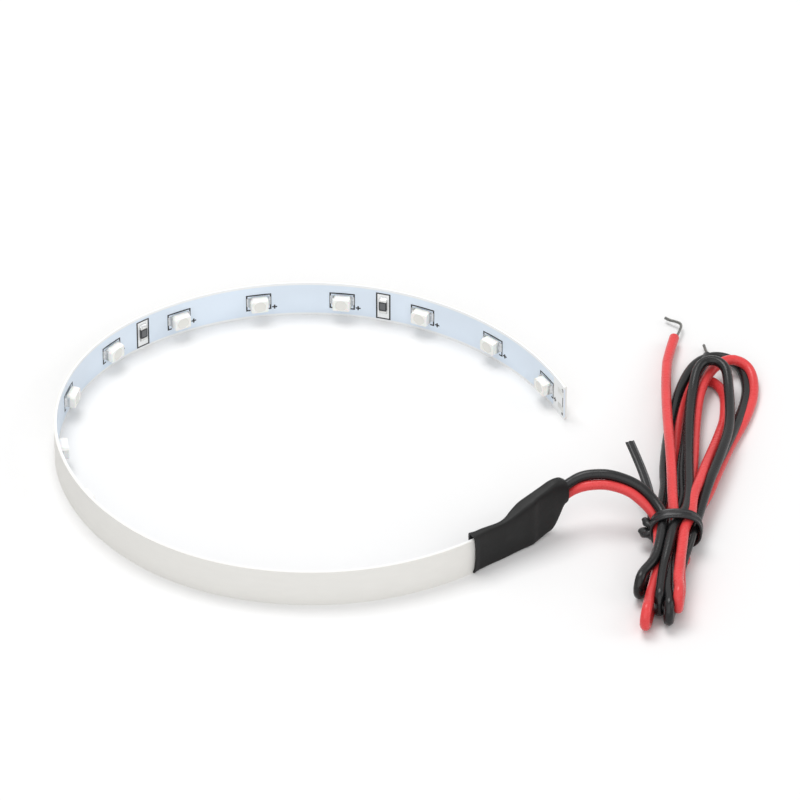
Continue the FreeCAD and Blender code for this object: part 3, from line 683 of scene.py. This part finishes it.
def joined(*parts):
    """Several sets of vertices and faces as one."""
    vertices, faces = [], []
    for part_vertices, part_faces in parts:
        start = sum(len(block) for block in vertices)
        faces += [[start + corner for corner in face] for face in part_faces]
        vertices.append(part_vertices)
    return np.concatenate(vertices), faces


def carried(path, side, top, profile):
    """Rings of a profile, points by 2, carried along a path by its side and top directions."""
    return (path[..., None, :] + side[..., None, :] * profile[..., :1]
            + top[..., None, :] * profile[..., 1:])


def dress(piece, material, nodes):
    """Gives a piece its material, and its place in the frame."""
    bpy.context.scene.collection.objects.link(piece)
    piece.data.materials.append(material)
    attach(piece, "root")
    if nodes:
        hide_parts(*nodes)
    return piece


def make_piece(name, shape, material, nodes=(), sharp=38.0):
    """A mesh piece at the origin, with outward faces and sharp edges past an angle."""
    vertices, faces = shape
    mesh = bpy.data.meshes.new(name)
    mesh.from_pydata(vertices.tolist(), [], faces)
    work = bmesh.new()
    work.from_mesh(mesh)
    bmesh.ops.recalc_face_normals(work, faces=work.faces)
    work.to_mesh(mesh)
    work.free()
    mesh.shade_smooth()
    mesh.set_sharp_from_angle(angle=math.radians(sharp))
    return dress(bpy.data.objects.new(name, mesh), material, nodes)


def mark_points(piece, name, marks, copies):
    """Stores one copy's marks as a point attribute, the same on every copy."""
    layer = piece.data.attributes.new(name, "FLOAT", "POINT")
    layer.data.foreach_set("value", np.tile(marks.ravel(), copies).astype(np.float32))


def finish_node(name, material):
    """A better material on a CAD node whose shape is right."""
    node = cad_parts[name]
    node.data.materials.clear()
    node.data.materials.append(material)


def numbered(name, count):
    """Names of so many like nodes."""
    return [f"{name}_{number:02d}" for number in range(1, count + 1)]


# Strip
def layer_rings(strip, reach, inner, outer):
    """A layer: a rectangle between two lifts, carried along the strip from the free end.

    Each corner is cut by the edges' ease, so the section has eight points, up the inner side and
    down the outer one. Inside the sleeve the foot is cut away.
    """
    distance = np.linspace(0.0, reach, 420)[:, None]
    inside = distance - (bent_length(strip) + strip.tuck)
    foot = np.clip(inside / strip.edge_ease, 0.0, 1.0) * strip.trim
    ease = strip.edge_ease * np.array([1, 0, 0, 1, 1, 0, 0, 1])
    lift = np.array([inner, inner, inner, inner, outer, outer, outer, outer])
    lift = lift + ease * np.sign(outer - inner)
    low = foot + strip.edge_ease * np.array([0, 1, 0, 0, 0, 0, 1, 0])
    high = strip.width - strip.edge_ease * np.array([0, 0, 1, 0, 0, 1, 0, 0])
    height = np.where(np.array([1, 1, 0, 0, 0, 0, 1, 1], bool), low, high)
    return on_strip(strip, distance, lift, height)[None]


class StripOperator(bpy.types.Operator):
    """Builds the circuit, its adhesive tape and the liner"""

    bl_idname = "led_strip.strip"
    bl_label = "Strip layers"

    def execute(self, context):
        strip = context.scene.strip_sizes
        shades = context.scene.strip_finishes
        half = strip.circuit / 2
        taped = bent_length(strip) + strip.tuck
        tape_face = -half - strip.tape
        circuit = layer_rings(strip, strip_length(strip), half, -half)
        tape = layer_rings(strip, taped, -half, tape_face)
        liner = layer_rings(strip, taped, tape_face, tape_face - strip.liner)
        mask = solder_mask(shades.mask, shades.bare_and_edge_highlight, strip.width, strip.margin)
        make_piece("circuit", closed_solids(circuit), mask, ["flex_circuit"])
        make_piece("tape", closed_solids(tape), paper("adhesive_tape", shades.tape, 900.0),
                   ["adhesive_tape"])
        make_piece("liner", closed_solids(liner), paper("release_liner", shades.liner, 300.0),
                   ["release_liner"])
        return {"FINISHED"}


# Print
def bracket_bars(marks):
    """Bars of the mark round a lamp, and of the plus sign beside it.

    A bar's limits are distances from the lamp's middle and heights over the floor.
    """
    half, low, high, line = marks.bracket_half, marks.bracket_low, marks.bracket_high, marks.line
    sign = marks.sign / 2
    stand_off = marks.sign * 0.65
    middle = -half - stand_off
    level = low + sign
    return [
        (-half, half, high - line, high),
        (-half, line - half, low, high - line),
        (half - line, half, low, high - line),
        (line - half, line - half + marks.tick, low, low + line),
        (half - line - marks.tick, half - line, low, low + line),
        (middle - sign, middle + sign, level - line / 2, level + line / 2),
        (middle - line / 2, middle + line / 2, level + line / 2, level + sign),
        (middle - line / 2, middle + line / 2, level - sign, level - line / 2),
    ]


def frame_bars(marks):
    """Bars of the frame round a resistor."""
    half, low, high, line = marks.frame_half, marks.frame_low, marks.frame_high, marks.line
    return [
        (-half, half, high - line, high),
        (-half, half, low, low + line),
        (-half, line - half, low + line, high - line),
        (half - line, half, low + line, high - line),
    ]


def end_bars(strip, marks):
    """Bars of the cutting line at the free end: an upright with a tick above and a dash below."""
    start = marks.line
    top = strip.width - 3 * marks.line
    foot = strip.width * 0.24
    return [
        (start, start + marks.line, foot, top),
        (start + marks.line, start + marks.tick, top - marks.line, top),
        (start, start + marks.tick, foot - 4 * marks.line, foot - 2 * marks.line),
    ]


def bare_fields(strip, marks):
    """Fields without mask: the free end up to the first lamp's mark, and each frame's inside."""
    end = lamp_distances(strip)[0] - marks.bracket_half
    half = marks.frame_half - marks.line
    low, high = marks.frame_low + marks.line, marks.frame_high - marks.line
    fields = [(middle - half, middle + half, low, high) for middle in resistor_distances(strip)]
    return [(strip.edge_ease, end, strip.margin, strip.width - strip.margin), *fields]


def ink_rings(strip, bars, thickness):
    """Thin slabs, one a bar: four corners carried along the bend between the bar's ends."""
    bars = np.array(bars)
    share = np.linspace(0.0, 1.0, 9)[None, :, None]
    distance = bars[:, :1, None] + (bars[:, 1:2] - bars[:, :1])[:, :, None] * share
    face = strip.circuit / 2
    lift = np.array([face, face, face + thickness, face + thickness])
    height = bars[:, [2, 3, 3, 2]][:, None]
    return on_strip(strip, distance, lift, height)


def lamp_distances(strip):
    """Distances of the lamps from the free end."""
    return strip.free_margin + np.arange(strip.lamp_count) * strip.pitch


def resistor_distances(strip):
    """Distances of the resistors from the free end, half a pitch past a segment's last lamp."""
    number = np.arange(1, strip.lamp_count // strip.lamps_per_segment + 1)
    return strip.free_margin + (number * strip.lamps_per_segment - 0.5) * strip.pitch


class PrintOperator(bpy.types.Operator):
    """Prints the marks and the cutting line, and lays the fields without mask"""

    bl_idname = "led_strip.print_marks"
    bl_label = "Printed marks"

    def execute(self, context):
        strip = context.scene.strip_sizes
        marks = context.scene.strip_marks
        bars = end_bars(strip, marks)
        for pattern, middles in ((bracket_bars(marks), lamp_distances(strip)),
                                 (frame_bars(marks), resistor_distances(strip))):
            bars += [(middle + start, middle + end, low, high)
                     for middle in middles for start, end, low, high in pattern]
        shades = context.scene.strip_finishes
        ink = ink_rings(strip, bars, marks.ink)
        make_piece("circuit_print", closed_solids(ink), print_ink(shades.ink))
        fields = ink_rings(strip, bare_fields(strip, marks), marks.ink / 2)
        make_piece("bare_fields", closed_solids(fields), paper("bare_field", shades.bare_and_edge_highlight, 900.0))
        return {"FINISHED"}


# Lamps
def housing_rings(lamp):
    """A lamp housing as one stack of rings, and a mark on the cup's floor, where its finish paints
    shade.

    The outer rings are a superellipse with one corner cut off, drawn in above and below the parting
    line. They are followed, over the top, by circles down the tapered cup to its floor.
    """
    angle = around(96, 0.5)
    outline = superellipse(lamp.length / 2, lamp.width / 2, 16.0, angle)
    leg = (lamp.length + lamp.width) / 2 - lamp.corner_cut
    across = np.maximum(outline[:, 1] - outline[:, 0], 1e-9)
    outline = outline * np.minimum(1.0, leg / across)[:, None]
    top, parting, floor = lamp.height, lamp.height / 2, lamp.height - lamp.depth
    outer = np.array([  # height, and share of the outline
        (lamp.floor, 0.965), (lamp.floor + 0.05 * MM, 0.98),
        (parting - 0.03 * MM, 1.0), (parting + 0.03 * MM, 1.0),
        (top - 0.12 * MM, 0.972), (top - 0.03 * MM, 0.958), (top, 0.93),
    ])
    inner = np.array([  # height and radius
        (top, lamp.rim + 0.05 * MM), (top - 0.04 * MM, lamp.rim),
        (floor + 0.06 * MM, lamp.cup + 0.03 * MM), (floor, lamp.cup - 0.03 * MM),
        (floor, lamp.cup / 2),
    ])
    rings = np.concatenate([outline * outer[:, 1, None, None],
                            directions(angle) * inner[:, 1, None, None]])
    marks = np.zeros(rings.shape[:2])
    marks[-2:] = 1.0
    return stacked_rings(rings, np.concatenate([outer, inner])[:, 0]), marks


def resin_rings(lamp):
    """Resin in the cup: circles up the taper, then in over a skin that dips towards its middle."""
    floor = lamp.height - lamp.depth
    top = lamp.height - lamp.recess
    taper = (lamp.rim - lamp.cup) / lamp.depth
    edge = lamp.cup + taper * (top - floor)
    share = np.array([1.0, 0.97, 0.85, 0.65, 0.4, 0.15])
    radii = np.concatenate([[lamp.cup], edge * share])
    heights = np.concatenate([[floor + 0.005 * MM], top - lamp.recess * (1 - share ** 2)])
    return stacked_rings(directions(around(64)) * radii[:, None, None], heights)


class LampsOperator(bpy.types.Operator):
    """Builds the lamps: housings, resin, chips and terminals"""

    bl_idname = "led_strip.lamps"
    bl_label = "Lamps"

    def execute(self, context):
        strip = context.scene.strip_sizes
        lamp = context.scene.strip_lamps
        shades = context.scene.strip_finishes
        reach = lamp.length / 2 + lamp.terminal + lamp.solder_reach
        seats = seat_axes(strip, lamp_distances(strip), reach)
        rings, marks = housing_rings(lamp)
        housing = make_piece("lamp_housings", closed_solids(seated(rings, seats)),
                             lamp_plastic(shades.housing),
                             numbered("led_housing", strip.lamp_count))
        mark_points(housing, "cup_floor", marks, strip.lamp_count)
        make_piece("lamp_resins", closed_solids(seated(resin_rings(lamp), seats)),
                   clear_resin(shades.resin),
                   numbered("led_resin", strip.lamp_count))
        finish_node("led_chips", speckled("lamp_chip", shades.chip, 0.3, 0.3, 0.2, 9000.0))
        finish_node("led_terminals",
                    speckled("tinned_terminals", shades.tin, 0.12, 0.28, 1.0, 2400.0))
        return {"FINISHED"}


# Resistors and solder
def resistor_rings(lamp):
    """A resistor's body between its caps, and a mark on the window in its top.

    Three more rings follow those of an eased block, drawn in on its top. The inner two bound the
    window.
    """
    ease = RESISTOR_EASE / 2
    body = eased_block(lamp.resistor_width / 2 - ease, lamp.resistor_length / 2 - lamp.cap,
                       0.0, lamp.resistor_height - ease, ease)
    inset = np.array([[0.76, 0.76, 1.0], [0.68, 0.68, 1.0], [0.3, 0.3, 1.0]])
    body = np.concatenate([body, body[-1] * inset[:, None]])
    window = np.zeros(body.shape[:2])
    window[-2:] = 1.0
    return body, window


def fillet_rings(start, width, reach, rise):
    """A solder fillet against a flat end, narrower towards its toe.

    Its height falls from the end by a power of what is left of its reach, and eases off at its
    sides.
    """
    share = np.linspace(0.0, 1.0, 9)[:, None]
    across = np.linspace(-1.0, 1.0, 13)[None, :]
    height = rise * ((1 - share) ** 2.4 * 0.96 + 0.04) * (1 - 0.45 * across ** 4)
    half = width / 2 * (1 - 0.12 * share)
    x = np.broadcast_to(start + reach * share, height.shape)
    crest = np.stack([x, half * across, height], -1)
    foot = np.stack([x[:, :2], half * np.array([1.0, -1.0]), np.zeros((len(share), 2))], -1)
    return np.concatenate([crest, foot], 1)


def quarter_turned(rings):
    """Rings turned a quarter about the seat's own axis."""
    return np.stack([-rings[..., 1], rings[..., 0], rings[..., 2]], -1)


class ResistorsOperator(bpy.types.Operator):
    """Builds the resistors, their end caps, and every solder fillet"""

    bl_idname = "led_strip.resistors"
    bl_label = "Resistors and solder"

    def execute(self, context):
        strip = context.scene.strip_sizes
        lamp = context.scene.strip_lamps
        shades = context.scene.strip_finishes
        half_width, half_length = lamp.resistor_width / 2, lamp.resistor_length / 2
        distances = resistor_distances(strip)
        seats = seat_axes(strip, distances, half_width)
        body, window = resistor_rings(lamp)
        bodies = make_piece("resistor_bodies", closed_solids(seated(body, seats)),
                            glazed(shades.glaze, shades.window),
                            numbered("resistor", len(distances)))
        mark_points(bodies, "window", window, len(distances))
        cap = eased_block(half_width, lamp.cap / 2, 0.0, lamp.resistor_height, RESISTOR_EASE)
        shift = np.array([0.0, half_length - lamp.cap / 2, 0.0])
        caps = np.concatenate([seated(cap + shift, seats), seated(cap - shift, seats)])
        make_piece("resistor_end_caps", closed_solids(caps),
                   speckled("tinned_caps", shades.tin, 0.12, 0.3, 1.0, 2600.0),
                   ["resistor_caps"])
        half_lamp = lamp.length / 2 + lamp.terminal
        reach, rise = lamp.solder_reach, lamp.solder_rise
        lamp_seats = seat_axes(strip, lamp_distances(strip), half_lamp + reach)
        lamp_fillet = fillet_rings(half_lamp, lamp.terminal_width, reach, rise)
        cap_fillet = quarter_turned(fillet_rings(half_length, lamp.resistor_width, reach, rise))
        half_turn = np.array([-1.0, -1.0, 1.0])
        fillets = np.concatenate([
            seated(lamp_fillet, lamp_seats), seated(lamp_fillet * half_turn, lamp_seats),
            seated(cap_fillet, seats), seated(cap_fillet * half_turn, seats),
        ])
        solder = speckled("solder", shades.solder, 0.15, 0.24, 1.0, 3200.0)
        make_piece("solder_joints", closed_solids(fillets), solder, ["solder_fillets"],
                   55.0)
        finish_node("end_pads", speckled("tinned_pads", shades.tin, 0.1, 0.3, 1.0, 2000.0))
        finish_node("joint_solder", solder)
        finish_node("joint_conductors",
                    speckled("tinned_conductor", shades.tin, 0.15, 0.3, 1.0, 2600.0))
        return {"FINISHED"}


# Sleeve
def sleeve_section(strip, lamp, sleeve, distance, grow):
    """Near, far, low and high limits of the sleeve at distances from its lip, grown by a wall.

    The sleeve lies flat on the strip, swells where the wires are soldered on, and closes round them
    in a knob.
    """
    share, sunk, climb, drop, bulge = SLEEVE_KNOTS.T
    half = strip.circuit / 2
    foot = sleeve.lift + sleeve.wall
    top = strip.width + sleeve.headroom
    mouth, reach = sleeve.mouth_height, sleeve.mouth_reach
    limits = (
        -half - FIT + sunk * FIT,
        half + lamp.resistor_height + 2 * FIT + bulge * FIT,
        np.where(drop > 0, np.maximum(mouth - drop * reach, foot), foot),
        np.append(top + climb[:-1] * sleeve.rise, mouth + reach),
    )
    knots = share * sleeve.length
    near, far, low, high = (smooth_through(distance, knots, limit) for limit in limits)
    return near - grow, far + grow, np.maximum(low - grow, sleeve.lift), high + grow


def sleeve_wall(strip, lamp, sleeve, distance, grow):
    """One wall of the sleeve: half superellipses, boxy on the strip's side, rounder on the other.

    Towards the mouth both get rounder. The corners of the lip reach past its middle by the square
    of their height over it, which fades along the sleeve.
    """
    limits = sleeve_section(strip, lamp, sleeve, distance, grow)
    near, far, low, high = (limit[:, None] for limit in limits)
    along = distance[:, None]
    angle = around(112, 0.5)[None]
    cosine, sine = np.cos(angle), np.sin(angle)
    rounding = np.clip(along / sleeve.length * 4 - 2.9, 0.0, 1.0)
    power = np.where(cosine < 0, 2 / (7.0 - 4.4 * rounding), 2 / (3.6 - 1.2 * rounding))
    across, up = signed_power(cosine, power), signed_power(sine, power)
    y = (near + far) / 2 + (far - near) / 2 * across
    z = (low + high) / 2 + (high - low) / 2 * up
    fading = np.exp(-along / (2.5 * MM))
    x = along - sleeve.flare * up ** 2 * fading
    lip, heading, inward = strip_plan(strip, np.array([bent_length(strip)]))
    out = -directions(heading[0])
    flat = lip[0] + out * x[..., None] + inward[0] * y[..., None]
    return np.concatenate([flat, z[..., None]], -1)


class SleeveOperator(bpy.types.Operator):
    """Builds the shrink sleeve over the soldered wires"""

    bl_idname = "led_strip.sleeve"
    bl_label = "Shrink sleeve"

    def execute(self, context):
        scene = context.scene
        strip, lamp, sleeve = scene.strip_sizes, scene.strip_lamps, scene.strip_sleeve
        distance = np.linspace(0.0, sleeve.length, 120)
        outside = sleeve_wall(strip, lamp, sleeve, distance, sleeve.wall)
        hollow = sleeve_wall(strip, lamp, sleeve, distance[::-1], 0.0)
        shape = closed_tube(np.concatenate([outside, hollow]))
        make_piece("sleeve", shape, shrunk_sleeve(scene.strip_finishes.sleeve),
                   ["shrink_sleeve"], 60.0)
        return {"FINISHED"}


# Wires
def route_curve(name, route):
    """A smooth open curve with a route's points as its control points."""
    curve = bpy.data.curves.new(name, "CURVE")
    curve.dimensions = "3D"
    spline = curve.splines.new("NURBS")
    spline.points.add(len(route) - 1)
    places = np.concatenate([np.array(route) * MM, np.ones((len(route), 1))], 1)
    spline.points.foreach_set("co", places.ravel())
    spline.order_u = 3
    spline.use_endpoint_u = True
    curve.resolution_u = 12
    return curve


def route_points(route):
    """Points along a route's smooth curve."""
    holder = bpy.data.objects.new("route", route_curve("route", route))
    mesh = bpy.data.meshes.new_from_object(holder)
    points = np.empty(len(mesh.vertices) * 3)
    mesh.vertices.foreach_get("co", points)
    bpy.data.meshes.remove(mesh)
    bpy.data.curves.remove(holder.data)
    return points.reshape(-1, 3)


def path_axes(path):
    """Side and top directions along a path, square to its tangents, with the sides level."""
    tangent = unit(np.gradient(path, axis=0))
    side = unit(np.cross(tangent, UP))
    return side, np.cross(side, tangent)


def strand_rings(route, wires):
    """A stripped end: six strands laid in a helix round a middle one, loosening towards the tip."""
    path = route_points(route)
    side, top = path_axes(path)
    steps = np.linalg.norm(np.diff(path, axis=0), axis=1)
    travel = np.concatenate([[0.0], np.cumsum(steps)])
    strand = np.arange(7)[:, None]
    laid = wires.strand * np.where(strand < 6, 1.0, 0.0) * (1.0 + 0.25 * (travel / travel[-1]) ** 3)
    turn = strand * (math.pi / 3) + travel / (0.7 * MM)
    spin = (laid * np.cos(turn))[..., None] * side + (laid * np.sin(turn))[..., None] * top
    return carried(path + spin, side, top, directions(around(8)) * wires.strand / 2)


def make_wire(name, route, wires, material, nodes):
    """A wire as one smooth curve with a round section and closed ends."""
    curve = route_curve(name, route)
    curve.bevel_depth = wires.diameter / 2
    curve.bevel_resolution = 6
    curve.use_fill_caps = True
    return dress(bpy.data.objects.new(name, curve), material, nodes)


class WiresOperator(bpy.types.Operator):
    """Lays the two wires, from the sleeve through the tied hank to their stripped ends"""

    bl_idname = "led_strip.wires"
    bl_label = "Wires"

    def execute(self, context):
        wires = context.scene.strip_wires
        shades = context.scene.strip_finishes
        strands = speckled("tinned_strands", shades.strands, 0.2, 0.34, 0.8, 5200.0)
        red_end = make_piece("red_strands", closed_solids(strand_rings(RED_END_ROUTE, wires)),
                             strands, ["red_bare_end"], 60.0)
        black_end = make_piece("black_strands", closed_solids(strand_rings(BLACK_END_ROUTE, wires)),
                               strands, ["black_bare_end"], 60.0)
        red = make_wire("red_wire", RED_ROUTE, wires,
                        insulation("red_insulation", shades.red, 1.12),
                        ["red_wire_lead", "red_wire_tail", "wire_hank"])
        black = make_wire("black_wire", BLACK_ROUTE, wires,
                          insulation("black_insulation", shades.black, 1.5),
                          ["black_wire_lead", "wire_hank"])
        return {"FINISHED"}


# Tie
def ribbon_profile(width, thickness):
    """A flat tie's section: a thin web with a rib at its middle and a bead along each edge."""
    angle = around(40)
    across = signed_power(np.cos(angle), 0.6)
    rib = 0.58 * np.exp(-(across / 0.22) ** 2)
    beads = 0.3 * np.exp(-((np.abs(across) - 0.86) / 0.12) ** 2)
    rise = signed_power(np.sin(angle), 0.4) * (0.42 + rib + beads)
    return np.stack([across * width / 2, rise * thickness / 2], -1)


def tie_band(wires):
    """The band: the ribbon's section carried round the hank on a superellipse."""
    loop = superellipse(wires.tie_half_x, wires.tie_half_z, 2.5, around(160))
    ahead = unit(np.roll(loop, -1, axis=0) - np.roll(loop, 1, axis=0))
    flat = np.zeros(len(loop))
    path = TIE_MIDDLE + np.stack([loop[:, 0], flat, loop[:, 1]], -1)
    outward = np.stack([ahead[:, 1], flat, -ahead[:, 0]], -1)
    lengthwise = np.broadcast_to([0.0, 1.0, 0.0], path.shape)
    section = ribbon_profile(wires.tie_width, wires.tie_thickness)
    return closed_tube(carried(path, lengthwise, outward, section))


def tie_twist(wires, route, size):
    """A twisted end: a two-lobed section that turns once and closes in a round tip."""
    path = route_points(route)
    share = np.linspace(0.0, 1.0, len(path))[:, None]
    angle = around(28)[None]
    lobes = 0.86 + 0.14 * np.cos(2 * (angle - 2.0 * math.pi * share))
    into_tip = ((share - 0.7) / 0.3).clip(0)
    closing = np.sqrt(np.clip(1 - into_tip ** 2, 0.01, 1.0))
    section = directions(angle) * (lobes * closing * wires.tie_thickness * size)[..., None]
    return closed_solids(carried(path, *path_axes(path), section)[None])


def tie_tail(wires):
    """The tail: the ribbon's section, a little thinner, carried up along a free curve."""
    path = route_points(TIE_TAIL)
    section = ribbon_profile(wires.tail_width, wires.tie_thickness * 0.8)
    return closed_solids(carried(path, *path_axes(path), section)[None])


class TieOperator(bpy.types.Operator):
    """Builds the tie round the hank, with its twisted stub and free tail"""

    bl_idname = "led_strip.tie"
    bl_label = "Tie"

    def execute(self, context):
        wires = context.scene.strip_wires
        shape = joined(tie_band(wires), tie_twist(wires, TIE_STUB, 1.2),
                       tie_twist(wires, TIE_SPUR, 1.0), tie_tail(wires))
        material = insulation("tie_plastic", context.scene.strip_finishes.tie, 1.7)
        make_piece("tie", shape, material, ["wire_tie"], 50.0)
        return {"FINISHED"}


# Stage
def floor_material(shade):
    """Pale sweep paper, which keeps the shadows."""
    finish = Finish("floor")
    tooth = finish.noise(400.0, 3.0)
    colour = finish.mix(tooth * 0.3, shade, shaded(shade, 1.02))
    return finish.surfaced(finish.node("ShaderNodeBsdfDiffuse", None, {"Color": colour}))


def add_lamp(name, power, side, place, aim):
    """A square soft lamp at a place, turned towards a point."""
    light = bpy.data.lights.new(name, "AREA")
    light.energy = power
    light.size = side
    lamp = bpy.data.objects.new(name, light)
    bpy.context.scene.collection.objects.link(lamp)
    lamp.location = place
    x, y, z = np.array(aim) - np.array(place)
    lamp.rotation_euler = (math.atan2(math.hypot(x, y), -z), 0.0, math.atan2(-x, y))


def light_world(sky):
    """An even sky that is plain white to the camera, in reflections and through clear pieces."""
    world = bpy.data.worlds.new("studio")
    world.use_nodes = True
    bpy.context.scene.world = world
    nodes = Nodes(world.node_tree)
    camera, glossy, transmitted = (nodes.node("ShaderNodeLightPath", output=f"Is {ray} Ray")
                                   for ray in ("Camera", "Glossy", "Transmission"))
    seen = {"Value": camera + glossy + transmitted, "To Min": sky, "To Max": 1.0}
    strength = nodes.node("ShaderNodeMapRange", None, seen)
    white = {"Color": (1.0, 1.0, 1.0, 1.0), "Strength": strength}
    background = nodes.node("ShaderNodeBackground", None, white)
    nodes.node("ShaderNodeOutputWorld", None, {"Surface": background})


class StageOperator(bpy.types.Operator):
    """Sets the floor, the lights and the camera"""

    bl_idname = "led_strip.stage"
    bl_label = "Stage"

    def execute(self, context):
        stage = context.scene.strip_stage
        mesh = bpy.data.meshes.new("floor")
        corners = np.array([(-1, -1, 0), (1, -1, 0), (1, 1, 0), (-1, 1, 0)]) * FLOOR_HALF
        mesh.from_pydata(corners.tolist(), [], [(0, 1, 2, 3)])
        floor = bpy.data.objects.new("floor", mesh)
        context.scene.collection.objects.link(floor)
        mesh.materials.append(floor_material(context.scene.strip_finishes.floor))
        target = np.array([stage.target_x, stage.target_y, 0.0])
        for name, power, side, place in LAMPS:
            add_lamp(name, getattr(stage, power), side, place, target)
        light_world(stage.sky)
        camera = bpy.data.cameras.new("camera")
        camera.lens = stage.lens
        camera.sensor_width = SENSOR
        viewer = bpy.data.objects.new("camera", camera)
        context.scene.collection.objects.link(viewer)
        away = np.array([0.0, -math.cos(stage.elevation), math.sin(stage.elevation)])
        viewer.location = target + away * stage.distance
        viewer.rotation_euler = (math.pi / 2 - stage.elevation, 0.0, 0.0)
        context.scene.camera = viewer
        context.scene.view_settings.view_transform = "Standard"
        return {"FINISHED"}


OPERATORS = (StripOperator, PrintOperator, LampsOperator, ResistorsOperator, SleeveOperator,
             TieOperator, WiresOperator, StageOperator)
GROUPS = {
    "strip_sizes": StripSizes,
    "strip_marks": PrintSizes,
    "strip_lamps": LampSizes,
    "strip_sleeve": SleeveSizes,
    "strip_wires": WireSizes,
    "strip_finishes": Finishes,
    "strip_stage": StageSettings,
}


class StripPanel(bpy.types.Panel):
    """Lists the pieces and their sizes in the 3D view's sidebar"""

    bl_idname = "VIEW3D_PT_led_strip"
    bl_label = "LED Strip"
    bl_space_type = "VIEW_3D"
    bl_region_type = "UI"
    bl_category = "LED Strip"

    def draw(self, context):
        for operator in OPERATORS:
            self.layout.operator(operator.bl_idname)
        for name, group in GROUPS.items():
            box = self.layout.box()
            for key in group.__annotations__:
                box.prop(getattr(context.scene, name), key)


def register():
    """Registers the property groups, the operators and the panel."""
    for group in GROUPS.values():
        bpy.utils.register_class(group)
    for name, group in GROUPS.items():
        setattr(bpy.types.Scene, name, PointerProperty(type=group))
    for cls in (*OPERATORS, StripPanel):
        bpy.utils.register_class(cls)


def unregister():
    """Takes back what register did, in reverse."""
    for cls in (StripPanel, *reversed(OPERATORS)):
        bpy.utils.unregister_class(cls)
    for name, group in reversed(GROUPS.items()):
        delattr(bpy.types.Scene, name)
        bpy.utils.unregister_class(group)


def main():
    """Builds every piece in order."""
    register()
    bpy.ops.led_strip.strip()
    bpy.ops.led_strip.print_marks()
    bpy.ops.led_strip.lamps()
    bpy.ops.led_strip.resistors()
    bpy.ops.led_strip.sleeve()
    bpy.ops.led_strip.tie()
    bpy.ops.led_strip.wires()
    bpy.ops.led_strip.stage()


if __name__ == "__main__":
    main()
